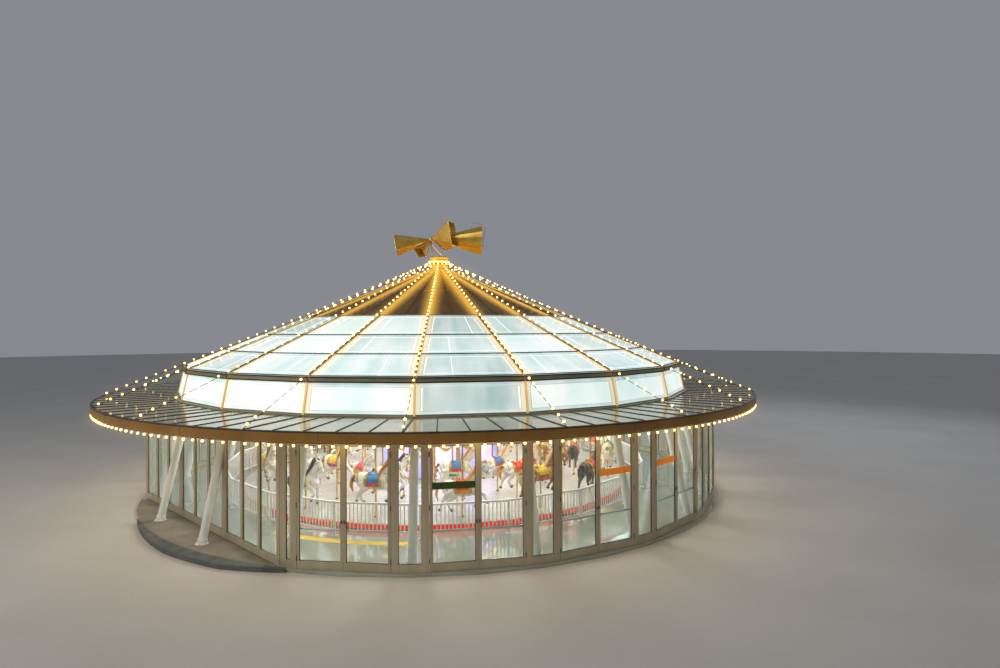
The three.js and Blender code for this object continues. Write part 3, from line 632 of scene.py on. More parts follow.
def stud(piece, place, centre, reaches, radii, sides, look, across=None):
    """A round or oval plate that stands out from a face, through the given distances from it."""
    path = [place @ (centre - Vector((0, reach, 0))) for reach in reaches]
    piece.tube(path, radii, sides, look, across)


# Glazed wall

# Which leaves carry a coloured band at eye height
BANDS = {(2, "left"): "green_band", (3, "right"): "orange_band", (4, "left"): "orange_band"}


def wall_piece(name, band="green_band"):
    return Piece(name, "aluminium", "glass", "gasket", "dark_steel", band, "steel")


def door_side(index):
    return flat_side(column_angle(index) + BAY_ANGLE / 2, DOOR_DISTANCE)


def pane(piece, place, left, right, middle=0.0):
    """A sheet of glass with a dark gasket round it on both faces."""
    height = (SILL_TOP, GLASS_TOP)
    piece.box((left, right), (middle - 0.005, middle + 0.005), height, place, "glass")
    for outward in ((middle + 0.006, middle + 0.014), (middle - 0.014, middle - 0.006)):
        piece.box((left, left + GASKET), outward, height, place, "gasket")
        piece.box((right - GASKET, right), outward, height, place, "gasket")
        piece.box((left + GASKET, right - GASKET), outward, (SILL_TOP, SILL_TOP + GASKET), place, "gasket")
        piece.box((left + GASKET, right - GASKET), outward, (GLASS_TOP - GASKET, GLASS_TOP), place, "gasket")


def leaf(piece, place, left, right, depth=FRAME_DEPTH):
    """One glazed leaf: two stiles, a deep bottom rail, a top rail and its pane."""
    inner = (left + STILE, right - STILE)
    piece.box((left, inner[0]), depth, (LEAF_BOTTOM, LEAF_TOP), place)
    piece.box((inner[1], right), depth, (LEAF_BOTTOM, LEAF_TOP), place)
    piece.box(inner, depth, (LEAF_BOTTOM, SILL_TOP), place)
    piece.box(inner, depth, (GLASS_TOP, LEAF_TOP), place)
    pane(piece, place, *inner, middle=(depth[0] + depth[1]) / 2)


def lock(piece, place, across):
    """An oval escutcheon with its cylinder, on the outer face of a stile."""
    face = Vector((across, -FRAME_DEPTH[1], LOCK_HEIGHT))
    oval = [(0.045, 0.022), (0.045, 0.022), (0.036, 0.016)]
    stud(piece, place, face, (0, 0.008, 0.01), oval, 16, "dark_steel")
    stud(piece, place, face + UP * 0.012, (0, 0.022), 0.011, 12, "dark_steel")


def hinges(piece, place, across):
    for height in HINGE_HEIGHTS:
        low = place @ Vector((across, -0.039, height - 0.06))
        piece.tube([low, low + UP * 0.12], 0.011, 12, "dark_steel")


def push_bar(piece, place, left, right):
    """A crash bar across the inner face, with a housing at each end."""
    ends = [place @ Vector((x, 0.06, PUSH_BAR_HEIGHT)) for x in (left + 0.03, right - 0.03)]
    piece.tube(ends, (0.022, 0.028), 12, "steel")
    height = (PUSH_BAR_HEIGHT - 0.03, PUSH_BAR_HEIGHT + 0.03)
    for low in (left + 0.005, right - STILE + 0.005):
        piece.box((low, low + STILE - 0.01), (-0.078, -0.02), height, place, "steel")


def post(piece, place, left, right):
    piece.box((left, right), FRAME_DEPTH, (FRAME_BOTTOM, HEAD_BOTTOM), place)


def jamb(piece, place, side, inner=POST_EDGE):
    """The post at one end of a wide side of the wall, a little past its corner."""
    post(piece, place, *sorted((side * inner, side * (DOOR_HALF + CORNER_LAP))))


def threshold(piece, place, left, right):
    piece.box((left, right), THRESHOLD_DEPTH, (FRAME_BOTTOM, LEAF_BOTTOM - 0.004), place, "dark_steel")


def fixed_bay(piece, index):
    """Two fixed leaves between their posts on one flat side of the wall."""
    place = door_side(index)
    for side in (-1, 1):
        jamb(piece, place, side, POST_EDGE + 0.001)
        leaf(piece, place, *sorted((side * 0.003, side * (POST_EDGE - 0.005))))
    threshold(piece, place, -POST_EDGE, POST_EDGE)
    lock(piece, place, 0.03)


def narrow_panel(piece, index, first=-PANEL_HALF, width=JAMB):
    """The narrow light in front of a column, from its first post to the far edge."""
    place = flat_side(column_angle(index), PANEL_DISTANCE)
    left, right = first + width, PANEL_HALF - JAMB
    post(piece, place, first - CORNER_LAP, left)
    post(piece, place, right, PANEL_HALF + CORNER_LAP)
    piece.box((left, right), FRAME_DEPTH, (FRAME_BOTTOM, SILL_TOP), place)
    piece.box((left, right), FRAME_DEPTH, (GLASS_TOP, HEAD_BOTTOM), place)
    pane(piece, place, left, right)


def make_fixed_walls():
    for name, first, last in (("right", 3, 6), ("back", 7, 11), ("left", 12, 15)):
        piece = wall_piece(f"glazed_wall_{name}")
        for index in range(first, last + 1):
            narrow_panel(piece, index)
            fixed_bay(piece, index)
        if name == "right":
            jamb(piece, door_side(OPENING_BAYS[-1]), 1)
        place_piece(piece, replaces=(f"wall_frame_{name}", f"wall_glass_{name}"), bevel=0.003)


def make_recess_wall():
    """Three straight bays of three windows."""
    start, end = column_angle(RECESS_LAST), column_angle(RECESS_FIRST)
    reach, distance = chord(WALL_RADIUS, start - end)
    place = flat_side((start + end) / 2, distance)
    piece = wall_piece("glazed_wall_recess")
    width = 2 * reach / RECESS_BAYS
    window_width = (width - 2 * JAMB) / RECESS_WINDOWS
    for bay in range(RECESS_BAYS):
        left = -reach + bay * width
        post(piece, place, left, left + JAMB)
        post(piece, place, left + width - JAMB, left + width)
        for window in range(RECESS_WINDOWS):
            near = left + JAMB + window * window_width
            leaf(piece, place, near + 0.003, near + window_width - 0.003)
        threshold(piece, place, left + JAMB, left + width - JAMB)
    place_piece(piece, replaces=("recess_wall_frame", "recess_wall_glass"), bevel=0.003)


def make_side_lights():
    for order, index in enumerate(OPENING_BAYS, 1):
        piece = wall_piece(f"glazed_side_light_{order}")
        if index == RECESS_LAST:
            narrow_panel(piece, index, 0.0, CORNER_POST)
        else:
            narrow_panel(piece, index)
        jamb(piece, door_side(index), -1)
        if index > RECESS_LAST:
            jamb(piece, door_side(index - 1), 1)
        place_piece(piece, replaces=(f"side_light_{order}",), bevel=0.003)


def door_leaf(order, index, side):
    name = "left" if side < 0 else "right"
    place = door_side(index)
    band = BANDS.get((order, name))
    piece = wall_piece(f"door_{order}_{name}_glazed", band or "green_band")
    toe, heel = 0.004, POST_EDGE - LEAF_GAP
    left, right = sorted((side * toe, side * heel))
    leaf(piece, place, left, right, LEAF_DEPTH)
    lock(piece, place, side * (toe + STILE / 2))
    hinges(piece, place, side * (POST_EDGE - LEAF_GAP / 2 - 0.003))
    push_bar(piece, place, left, right)
    if band:
        piece.box((left + STILE, right - STILE), (0.011, 0.0125), BAND_HEIGHT, place, band)
    place_piece(piece, f"door_{order}_{name}", (f"door_{order}_{name}_leaf",), bevel=0.003)


def make_doors():
    for order, index in enumerate(OPENING_BAYS, 1):
        for side in (-1, 1):
            door_leaf(order, index, side)


# Structure

def make_structure():
    """Leaning columns with their shoes, the eaves beam, purlins, crown ring and rafters."""
    piece = Piece("roof_structure", "white_steel", "dark_steel")
    for angle, _ in bays():
        foot, head = polar(COLUMN_FOOT, angle, 0), polar(COLUMN_HEAD, angle, COLUMN_TOP)
        foot = lerp(foot, head, FLOOR_TOP / COLUMN_TOP)
        piece.tube([foot, lerp(foot, head, 0.5), head], COLUMN_RADIUS, 20)
        piece.tube([foot, foot + UP * 0.02], COLUMN_PLATE, 20)
        for low, high in ((0.012, 0.03), (0.965, 0.985)):
            piece.tube([lerp(foot, head, low), lerp(foot, head, high)], COLUMN_COLLAR, 20)
        for turn in range(6):
            bolt = foot + polar(BOLT_CIRCLE, 60 * turn) + UP * 0.02
            piece.tube([bolt, bolt + UP * 0.018], 0.011, 6, "dark_steel")
        rafter = [polar(radius, angle, roof_height(radius) - RAFTER_DROP) for radius in (8.5, 0.42)]
        piece.bar(*rafter, RAFTER_WIDTH, RAFTER_DEPTH)
    piece.ring(*EAVE_BEAM, BAYS)
    for share in ROW_SHARES[:3]:
        radius = EAVE_RADIUS * share
        top = roof_height(radius) - 0.055
        piece.ring((radius - 0.03, radius + 0.03), (top - 0.08, top), BAYS)
    piece.ring(*CROWN_RING, 40)
    nodes = [f"roof_frame_{name}" for name in QUARTERS]
    place_piece(piece, replaces=nodes, bevel=0.004, sharp=20)


# Roof

def roof_point(share, angle, lift=0.0):
    radius = EAVE_RADIUS * share
    return polar(radius, angle, roof_height(radius) + lift)


def roof_panel(low, high, near, far):
    """The corners of a panel between two shares of the slope and two angles."""
    return [roof_point(low, near), roof_point(low, far), roof_point(high, far), roof_point(high, near)]


def roof_bar(piece, start, end, lift, width, depth, look=0):
    """A bar on the roof between two places, each a share of the slope and an angle."""
    piece.bar(roof_point(*start, lift), roof_point(*end, lift), width, depth, look)


def inset(corners, sideways, endways):
    """Moves the four corners of a panel in from its sides and from its ends."""
    moved = []
    for near, beside, beyond in ((0, 1, 3), (1, 0, 2), (2, 3, 1), (3, 2, 0)):
        corner = corners[near]
        across, along = (corners[beside] - corner).normalized(), (corners[beyond] - corner).normalized()
        moved.append(corner + across * sideways + along * endways)
    return moved


# Frosted panes are made of three brightnesses of painted glow, then the painted light and the painted shadow
# lines in them
PANE_LOOKS = ("roof_bright", "roof_even", "roof_soft", "ghost", "shadow")


def ghost_frame(piece, corners, inner, width, look):
    """The inner frame behind frosted glass, painted on its face as four thin strips: painted light in the
    ghost look, painted shadow in the shadow look.
    """
    outer_line, inner_line = inset(corners, inner, inner), inset(corners, inner + width, inner + width)
    for i in range(4):
        k = (i + 1) % 4
        piece.slab([outer_line[i], outer_line[k], inner_line[k], inner_line[i]], 0.002, look, 0.001)


def glass_panel(piece, corners, look, rng):
    """A pane of frosted glass in its bed, with painted light and painted shadow lines of what stands close
    behind it.
    """
    bed = inset(corners, 0.02, 0.015)
    piece.slab(bed, 0.014, look)
    ghost_frame(piece, bed, 0.13, 0.012, "shadow")
    ghost_frame(piece, bed, 0.16, 0.018, "ghost")
    # Painted light: one bright line across the pane
    share = rng.choice((0.28, 0.34, 0.66, 0.72))
    low, high = lerp(bed[0], bed[1], share), lerp(bed[3], bed[2], share)
    start, end = lerp(low, high, 0.06), lerp(low, high, 0.94)
    piece.bar(start, end, rng.uniform(0.012, 0.03), 0.006, "ghost")


def make_roof_glass():
    """Three rows of frosted panes, brighter and softer by turns."""
    rng = random.Random(11)
    piece = Piece("roof_panes", *PANE_LOOKS)
    for near, far in bays():
        for low, high in zip(ROW_SHARES[1:], ROW_SHARES[:-1]):
            look = rng.choice(("roof_bright", "roof_even", "roof_even", "roof_soft"))
            glass_panel(piece, roof_panel(low, high, near, far), look, rng)
    place_piece(piece, replaces=("roof_glass",), sharp=5)


def make_roof_ribs():
    """Pressure caps over the ribs, and thin dark ones between the rows of panes."""
    piece = Piece("roof_ribs", "rib", "dark_trim")
    for near, far in bays():
        for lift, width, depth, look in ((0.012, 0.085, 0.028, "rib"), (0.030, 0.035, 0.014, "dark_trim")):
            roof_bar(piece, (1.004, near), (CAP_SHARE, near), lift, width, depth, look)
        for share in ROW_SHARES[1:3]:
            roof_bar(piece, (share, near), (share, far), 0.012, 0.05, 0.03, "dark_trim")
        roof_bar(piece, (0.997, near), (0.997, far), 0.010, 0.06, 0.022, "dark_trim")
    place_piece(piece, bevel=0.003)


def make_cap():
    """The metal cap: sheets with a cross seam, a folded rib on every ridge and a foot flashing."""
    piece = Piece("golden_cap", "cap", "lit_gold", "trim")
    top = (COLLAR_RADIUS - 0.01) / EAVE_RADIUS
    middle_share = CAP_SHARE * math.cos(math.radians(BAY_ANGLE / 2))
    for near, far in bays():
        for low, high in ((CAP_SHARE, CAP_SEAM_SHARE + 0.001), (CAP_SEAM_SHARE - 0.001, top)):
            piece.slab(inset(roof_panel(low, high, near, far), 0.004, 0.002), 0.008)
        middle = (near + far) / 2
        roof_bar(piece, (CAP_SEAM_SHARE, near), (CAP_SEAM_SHARE, far), 0.004, 0.03, 0.012)
        roof_bar(piece, (CAP_SHARE, near), (top, near), 0.012, 0.06, 0.035, "lit_gold")
        roof_bar(piece, (middle_share, middle), (0.12, middle), 0.003, 0.018, 0.012)
        roof_bar(piece, (CAP_SHARE, near), (CAP_SHARE, far), 0.014, 0.07, 0.02, "trim")
    place_piece(piece, replaces=("roof_cap",), bevel=0.002)


def make_clerestory():
    """One tall leaning pane in every bay, with its sill, head and ribs."""
    rng = random.Random(4)
    piece = Piece("clerestory", *PANE_LOOKS, "trim", "dark_trim", "rib")
    mostly_bright = ("roof_bright", "roof_bright", "roof_bright", "roof_even")
    for index, angles in enumerate(bays()):
        foot = [polar(CLERESTORY_FOOT, angle, CLERESTORY_BOTTOM) for angle in angles]
        head = [polar(CLERESTORY_HEAD, angle, GUTTER_BOTTOM) for angle in angles]
        bed = inset([*foot, *reversed(head)], 0.03, 0.02)
        piece.slab(bed, 0.014, "roof_even")
        # Painted light: a brighter inner sheet of glow on each pane, dimmer on the first pane
        look = rng.choice(mostly_bright) if index else "roof_soft"
        piece.slab(inset(bed, 0.17, 0.12), 0.004, look, 0.003)
        # Painted shadow and painted light lines of the frame behind the pane
        ghost_frame(piece, bed, 0.10, 0.012, "shadow")
        ghost_frame(piece, bed, 0.13, 0.02, "ghost")
        piece.bar(foot[0], head[0], 0.055, 0.05, "rib", polar(1, angles[0]))
        for share, depth, look in ((0.03, 0.06, "trim"), (0.985, 0.03, "dark_trim")):
            ends = [lerp(foot[i], head[i], share) for i in range(2)]
            piece.bar(*ends, 0.035, depth, look)
    place_piece(piece, replaces=("clerestory_glass",), bevel=0.002, sharp=5)


def make_gutter():
    """The box gutter at the eave, with a dark lip and a bracket at every rib."""
    dress("eave_gutter", "trim")
    piece = Piece("gutter_trim", "dark_trim", "trim")
    piece.ring((GUTTER_FACE - 0.005, GUTTER_FACE + 0.022), (EAVE_HEIGHT - 0.022, EAVE_HEIGHT + 0.008), BAYS)
    bead = (GUTTER_BOTTOM - 0.008, GUTTER_BOTTOM + 0.012)
    piece.ring((GUTTER_FACE - 0.003, GUTTER_FACE + 0.01), bead, BAYS)
    height = (GUTTER_BOTTOM + 0.005, EAVE_HEIGHT + 0.005)
    for angle, _ in bays():
        piece.box((-0.04, 0.04), (-0.004, 0.014), height, flat_side(angle, GUTTER_FACE), "trim")
    place_piece(piece, sharp=10)


# Canopy

def make_canopy():
    """Rolled fascia, upstand, arms and the radial bars that hold the deck's glass."""
    piece = Piece("canopy_metal", "bronze", "dark_trim", "trim")
    inner, outer = CANOPY_RADIUS - 0.06, CANOPY_RADIUS
    piece.turned([(inner, FASCIA_BOTTOM), (outer - 0.008, FASCIA_BOTTOM), (outer, FASCIA_BOTTOM + 0.008),
                  (outer, CANOPY_TOP - 0.03), (outer - 0.006, CANOPY_TOP - 0.024),
                  (inner, CANOPY_TOP - 0.024)], 160)
    piece.ring((inner - 0.02, outer + 0.004), (CANOPY_TOP - 0.023, CANOPY_TOP + 0.004), 160, "dark_trim")
    piece.ring((UPSTAND_IN, UPSTAND_OUT), (HEAD_TOP, CLERESTORY_BOTTOM), BAYS, "trim")
    flashing = (CANOPY_TOP + 0.002, CANOPY_TOP + 0.03)
    piece.ring((UPSTAND_IN + 0.015, UPSTAND_OUT + 0.035), flashing, BAYS, "trim")
    ends = (UPSTAND_OUT + 0.01, inner - 0.01)
    for angle, _ in bays():
        start, end = (polar(radius, angle, ARM_HEIGHT) for radius in (UPSTAND_OUT - 0.02, inner + 0.005))
        piece.bar(start, end, 0.06, 0.225, "trim")
        for step in range(DECK_PANES):
            bar_angle = angle + BAY_ANGLE * step / DECK_PANES
            start, end = (polar(radius, bar_angle, CANOPY_TOP + 0.008) for radius in ends)
            piece.bar(start, end, 0.026 if step else 0.05, 0.016, "dark_trim")
            if step:
                piece.bar(start - UP * 0.055, end - UP * 0.055, 0.03, 0.05, "trim")
    nodes = [f"canopy_frame_{name}" for name in QUARTERS]
    place_piece(piece, replaces=nodes, bevel=0.002, sharp=25)
    deck = Piece("canopy_glass", "deck")
    deck.ring((UPSTAND_OUT, inner), (CANOPY_TOP - 0.015, CANOPY_TOP), 100)
    place_piece(deck, replaces=("canopy_deck",))
    joint = Piece("fascia_joints", "dark_trim")
    for angle, _ in bays():
        place = flat_side(angle + BAY_ANGLE / 2, CANOPY_RADIUS)
        joint.box((-0.004, 0.004), (-0.002, 0.002), (FASCIA_BOTTOM + 0.01, CANOPY_TOP - 0.03), place)
    place_piece(joint)


# Peak and ornament

def make_collar():
    piece = Piece("peak_collar_shell", "cap", "gold")
    piece.turned([(0.05, COLLAR_BOTTOM), (COLLAR_RADIUS, COLLAR_BOTTOM), (COLLAR_RADIUS, COLLAR_TOP - 0.05),
                  (0.3, COLLAR_TOP), (0.05, COLLAR_TOP)], 40)
    for height in (7.78, 7.9, 8.1):
        radii = (COLLAR_RADIUS - 0.003, COLLAR_RADIUS + 0.004)
        piece.ring(radii, (height - 0.014, height + 0.014), 40, "gold")
    place_piece(piece, replaces=("peak_collar",), sharp=30)


# Each vane: where its mouth stands, its half width and half height, its sides and how deep they fold
VANES = (
    (Vector((1.6, 0.15, 8.87)), 0.44, 0.55, 28, 0.05),
    (Vector((0.56, -0.3, 9.07)), 0.42, 0.62, 4, 0.0),
    (Vector((-1.6, 0, 8.68)), 0.36, 0.40, 6, 0.0),
    (Vector((-0.66, -0.45, 8.35)), 0.28, 0.28, 4, 0.0),
    (Vector((0.2, 0.9, 9.0)), 0.4, 0.4, 20, 0.05),
)
# The wire that stands off the mouth of the right vane
WIRE = (Vector((1.2, 0.1, 9.24)), Vector((1.27, 0.05, 9.54)),
        Vector((1.76, 0.1, 9.44)), Vector((1.62, 0.1, 8.5)))


def vane(piece, mouth, wide, high, sides, fold):
    """A cone of folded sheet metal, open at its mouth, with rods along its folds and round its mouth."""
    along = (mouth - HUB).normalized()
    side = along.cross(UP).normalized()
    rise = side.cross(along)
    rim = []
    for i, share in enumerate(shares(sides)):
        turn = 2 * math.pi * share
        reach = 1 - fold * (i % 2)
        rim.append(mouth + side * (wide * reach * math.cos(turn)) + rise * (high * reach * math.sin(turn)))
    root = [lerp(HUB, point, 0.05) for point in rim]
    inner_rim = [lerp(point, mouth - along * 0.05, 0.03) for point in rim]
    inner_root = [lerp(point, HUB + along * 0.1, 0.1) for point in root]
    piece.loft([rim, root, inner_root, inner_rim], closed=True)
    for i in range(sides):
        if sides < 8 or i % 7 == 0:
            piece.tube([lerp(HUB, rim[i], 0.04), rim[i]], 0.011, 8, "brass")
        piece.tube([rim[i], rim[(i + 1) % sides]], 0.010, 8, "brass")


def make_ornament():
    piece = Piece("folded_pinwheel", "gold", "brass")
    piece.ball(HUB, 0.09, "brass", 20, 12)
    for parts in VANES:
        vane(piece, *parts)
    piece.tube(WIRE, 0.008, 8, "brass")
    place_piece(piece, replaces=("pinwheel",), sharp=18)
    stand = Piece("pinwheel_stand", "gold", "brass")
    stand.turned([(0.02, COLLAR_TOP), (0.325, COLLAR_TOP), (0.325, COLLAR_TOP + 0.02),
                  (0.3, COLLAR_TOP + 0.03), (0.02, COLLAR_TOP + 0.03)], 40)
    boss = HUB - UP * 0.21
    path = [boss, boss + UP * 0.03, HUB - UP * 0.1, HUB - UP * 0.09]
    stand.tube(path, [0.04, 0.046, 0.046, 0.03], 16, "brass")
    for x, y in ((-0.25, -0.12), (-0.2, 0.18), (0.16, -0.16), (0.18, 0.15)):
        foot = Vector((x, y, COLLAR_TOP + 0.015))
        stand.tube([foot, boss + UP * 0.04], 0.014, 12, "brass")
        stand.tube([foot, foot + UP * 0.03], 0.03, 12, "brass")
    place_piece(stand, replaces=("ornament_stand",), sharp=30)


# Strings of lights

def string_piece(name):
    return Piece(name, "cable", "bulb", "gasket")


def bulb(piece, point, drop=1.0):
    """A glowing globe in a short dark socket, above or below the cable."""
    piece.tube([point, point - UP * (0.028 * drop)], 0.014, 6, "gasket")
    piece.ball(point - UP * ((0.022 + BULB_RADIUS) * drop), BULB_RADIUS, "bulb")


def string_point(angle, share):
    """A point on a rib's string of lights, which is almost taut: it sags a little between its ends."""
    peak, rim = (polar(radius, angle, height) for radius, height in (STRING_PEAK, STRING_RIM))
    return lerp(peak, rim, share) - UP * (STRING_SAG * 4 * share * (1 - share))


def make_rib_strings():
    piece = string_piece("rib_light_strings")
    for angle, _ in bays():
        piece.tube([string_point(angle, step / STRING_STEPS) for step in range(STRING_STEPS + 1)], 0.008, 8)
        for share in shares(RIB_BULBS):
            bulb(piece, string_point(angle, share), -0.6)
    radius, height = STRING_PEAK
    piece.ring((radius - 0.0175, radius + 0.0175), (height - 0.012, height + 0.012), 40)
    for step in range(COLLAR_BULBS):
        bulb(piece, polar(radius + 0.0045, 360 / COLLAR_BULBS * step, height + 0.01), -1)
    place_piece(piece, replaces=("roof_light_strings",), sharp=50)


def make_rim_string():
    piece = string_piece("rim_lights")
    radius, height = RIM_STRING_RADIUS, RIM_STRING_HEIGHT
    piece.ring((radius - 0.007, radius + 0.007), (height - 0.007, height + 0.007), 120)
    for step in range(RIM_BULBS):
        bulb(piece, polar(radius, 360 * step / RIM_BULBS, height - 0.005))
    place_piece(piece, replaces=("rim_light_string",), sharp=50)


# Floor and fence

def make_ground_works():
    dress("floor_slab", "floor")
    dress("head_ring", "aluminium")
    dress("centre_pole", "steel")
    piece = Piece("floor_stripe", "yellow")
    piece.ring((7.74, 8.0), (FLOOR_TOP, FLOOR_TOP + 0.0015), 24, "yellow", -29, 30)
    place_piece(piece)


def make_paving():
    """Rough paving in front of the recessed wall, in bays."""
    piece = Piece("recess_paving", "paving")
    start, end = column_angle(RECESS_LAST) - 1.5, column_angle(RECESS_FIRST) + 1.5
    slabs = 9
    middle = math.radians((start + end) / 2)
    wall = WALL_RADIUS * math.cos(math.radians((start - end) / 2 + 1.5)) + 0.045
    for slab in range(slabs):
        edges = [lerp(start, end, (slab + share) / slabs) for share in (0.01, 0.34, 0.67, 0.99)]
        outer, inner = [], []
        for angle in edges:
            reach = min(wall / math.cos(math.radians(angle) - middle), FLOOR_RADIUS - 0.04)
            inner.append(polar(reach, angle, FLOOR_TOP))
            outer.append(polar(FLOOR_RADIUS - 0.02, angle, FLOOR_TOP))
        for i in range(3):
            piece.slab([inner[i], inner[i + 1], outer[i + 1], outer[i]], 0.002, "paving", 0.002)
    place_piece(piece)


def curb_edge(angle):
    """How far out the curb reaches: from a narrow tip at either end to its full width."""
    before = max(0.0, (angle - CURB_FULL) / (CURB_START - CURB_FULL))
    past = max(0.0, (CURB_TAPER - angle) / (CURB_TAPER - CURB_END))
    return CURB_RADIUS - (before + past) * (CURB_RADIUS - FLOOR_RADIUS - CURB_TIP)


def make_curb():
    """The curb that bounds the paving, stone by stone."""
    piece = Piece("recess_curb_stones", "concrete")
    stones, steps = 13, 4
    for stone in range(stones):
        sections = []
        for step in range(steps + 1):
            share = (stone + lerp(0.006, 0.994, step / steps)) / stones
            angle = lerp(CURB_START, CURB_END, share)
            inner, outer = FLOOR_RADIUS + 0.004, curb_edge(angle)
            profile = ((inner, 0.0), (outer, 0.0), (outer, CURB_TOP - 0.02), (outer - 0.02, CURB_TOP),
                       (inner, CURB_TOP))
            sections.append([polar(radius, angle, height) for radius, height in profile])
        piece.loft(sections)
    place_piece(piece, replaces=("recess_curb",))


def make_fence():
    piece = Piece("balustrade", "fence")
    for angles in bays():
        near, far = (polar(FENCE_RADIUS, angle) for angle in angles)
        place = flat_side(angles[0], FENCE_RADIUS)
        for half, low, high in ((0.032, FLOOR_TOP, FENCE_TOP - 0.02), (0.042, FENCE_TOP - 0.02, FENCE_TOP),
                                (0.06, FLOOR_TOP, FLOOR_TOP + 0.012)):
            piece.box((-half, half), (-half, half), (low, high), place)
        for height, depth, width in ((FENCE_TOP - 0.035, 0.05, 0.06), (FENCE_RAIL, 0.045, 0.035)):
            piece.bar(near + UP * height, far + UP * height, width, depth)
        outward = polar(1, angles[0] + BAY_ANGLE / 2)
        for step in range(1, PICKETS):
            foot = lerp(near, far, step / PICKETS)
            top = foot + UP * (FENCE_TOP - 0.05)
            piece.bar(foot + UP * FENCE_RAIL, top, 0.026, 0.026, up=outward)
    nodes = [f"picket_fence_{name}" for name in QUARTERS]
    place_piece(piece, replaces=nodes, bevel=0.003)


# Ride

def make_platform():
    """Boarded platform with a red riser, gilded at both edges."""
    piece = Piece("ride_platform", "boards", "red", "gold", "cream")
    sides = 2 * RANKS
    riser_bottom, riser_top = 0.095, 0.2
    piece.ring((PLATFORM_IN, PLATFORM_OUT - 0.03), (0.09, riser_top), sides, "cream", 0)
    half, distance = chord(PLATFORM_OUT, 360 / sides)
    for step in range(sides):
        near, far = 360 * step / sides, 360 * (step + 1) / sides
        for row in range(BOARDS):
            low = lerp(PLATFORM_OUT - 0.02, PLATFORM_IN, row / BOARDS)
            high = lerp(PLATFORM_OUT - 0.02, PLATFORM_IN, (row + 1) / BOARDS) + 0.006
            corners = ((low, near), (low, far), (high, far), (high, near))
            piece.slab([polar(radius, angle, PLATFORM_TOP) for radius, angle in corners], 0.02)
        place = flat_side((near + far) / 2, distance)
        riser = (riser_bottom, riser_top + 0.005)
        # The red riser's paint carries a painted glow
        piece.box((-half + 0.01, half - 0.01), (-0.03, -0.004), riser, place, "red")
        for height in ((riser_top, PLATFORM_TOP + 0.002), (PLATFORM_BOTTOM, riser_bottom)):
            piece.box((-half, half), (-0.03, 0.0), height, place, "gold")
        for edge in (-half / 3, half / 3):
            across = (edge - 0.008, edge + 0.008)
            piece.box(across, (-0.006, -0.001), (riser_bottom, riser_top), place, "gold")
    place_piece(piece, "ride", ("platform",))


def oval_mirror(piece, place, centre, rim_reaches, rim, lip, glass_reaches, glass_size, across=None):
    """An oval mirror in a gilded rim that slopes in to its lip; the sizes are half widths and heights."""
    stud(piece, place, centre, rim_reaches, [rim, rim, lip], 24, "gold", across)
    stud(piece, place, centre, glass_reaches, glass_size, 24, "mirror", across)


def rounding_board(piece, start, span, look):
    """A scalloped board with an oval mirror in a gilded frame, and a row of bulbs below."""
    half = chord(ROUNDING_IN + 0.05, span)[0]
    place = flat_side(start + span / 2, chord(ROUNDING_IN, span)[1])
    scallops, steps = 3, 12
    outline = [(-half, ROUNDING_TOP - 0.04)]
    for step in range(steps + 1):
        dip = 0.07 * abs(math.sin(scallops * math.pi * step / steps))
        outline.append((lerp(-half, half, step / steps), ROUNDING_BOTTOM + 0.1 - dip))
    outline.append((half, ROUNDING_TOP - 0.04))
    piece.slab([place @ Vector((x, -0.03, z)) for x, z in outline], 0.03, look)
    piece.box((-half, half), (0.0, 0.05), (ROUNDING_TOP - 0.05, ROUNDING_TOP), place, "gold")
    piece.box((-half, half), (0.03, 0.04), (ROUNDING_BOTTOM + 0.13, ROUNDING_BOTTOM + 0.15), place, "gold")
    centre = Vector((0, -0.03, ROUNDING_BOTTOM + 0.42))
    oval_mirror(piece, place, centre, (0, 0.012, 0.02), (0.2, 0.27), (0.17, 0.24),
                (0.019, 0.024), (0.15, 0.21), place.to_3x3() @ UP)
    for share in shares(BOARD_BULBS):
        point = place @ Vector((lerp(-half, half, share), -0.015, ROUNDING_BOTTOM + 0.095))
        piece.ball(point - UP * 0.03, RIDE_BULB_RADIUS, "bulb_soft")


def sweep(piece, angle):
    """A sweep with a gilded lower edge and a row of bulbs."""
    start, end = (polar(radius, angle, SWEEP_MIDDLE) for radius in (PLATE_OUT, ROUNDING_IN + 0.01))
    piece.bar(start, end, 0.08, 0.15)
    piece.bar(start - UP * 0.075, end - UP * 0.075, 0.09, 0.02, "gold")
    for step in range(SWEEP_BULBS):
        point = lerp(start, end, (step + 0.7) / (SWEEP_BULBS + 0.5))
        piece.ball(point - UP * 0.11, RIDE_BULB_RADIUS, "bulb_soft")


def twisted_pole(piece, radius, angle):
    """A brass pole with three strands turned round it, and a gilded foot and head."""
    rings, sides, strands = 44, 9, 3
    foot, head = polar(radius, angle, PLATFORM_TOP), polar(radius, angle, SWEEP_BOTTOM)
    sections = []
    for i in range(rings + 1):
        section = []
        for k in range(sides):
            turn = 360 * k / sides
            bulge = 0.024 + 0.006 * math.cos(math.radians(strands * turn - 40 * i))
            section.append(lerp(foot, head, i / rings) + polar(bulge, turn))
        sections.append(section)
    piece.loft(sections, "brass", capped=False)
    for height in (PLATFORM_TOP, SWEEP_BOTTOM - 0.06):
        low = polar(radius, angle, height)
        piece.tube([low, low + UP * 0.05], 0.05, 12, "gold")


def make_ride_works():
    for section in range(RANKS // 2):
        piece = Piece(f"ride_works_{section + 1}", "cream", "rose", "gold", "mirror", "bulb_soft", "brass")
        start = section * 2 * RANK_ANGLE
        for step, look in enumerate(("cream", "rose", "cream", "rose")):
            rounding_board(piece, start + step * RANK_ANGLE / 2, RANK_ANGLE / 2, look)
        for rank in range(2):
            angle = start + (rank + 0.5) * RANK_ANGLE
            sweep(piece, angle)
            for radius, _, _ in ROWS:
                twisted_pole(piece, radius, angle)
        place_piece(piece, "ride", (f"ride_section_{section + 1}",), sharp=40)


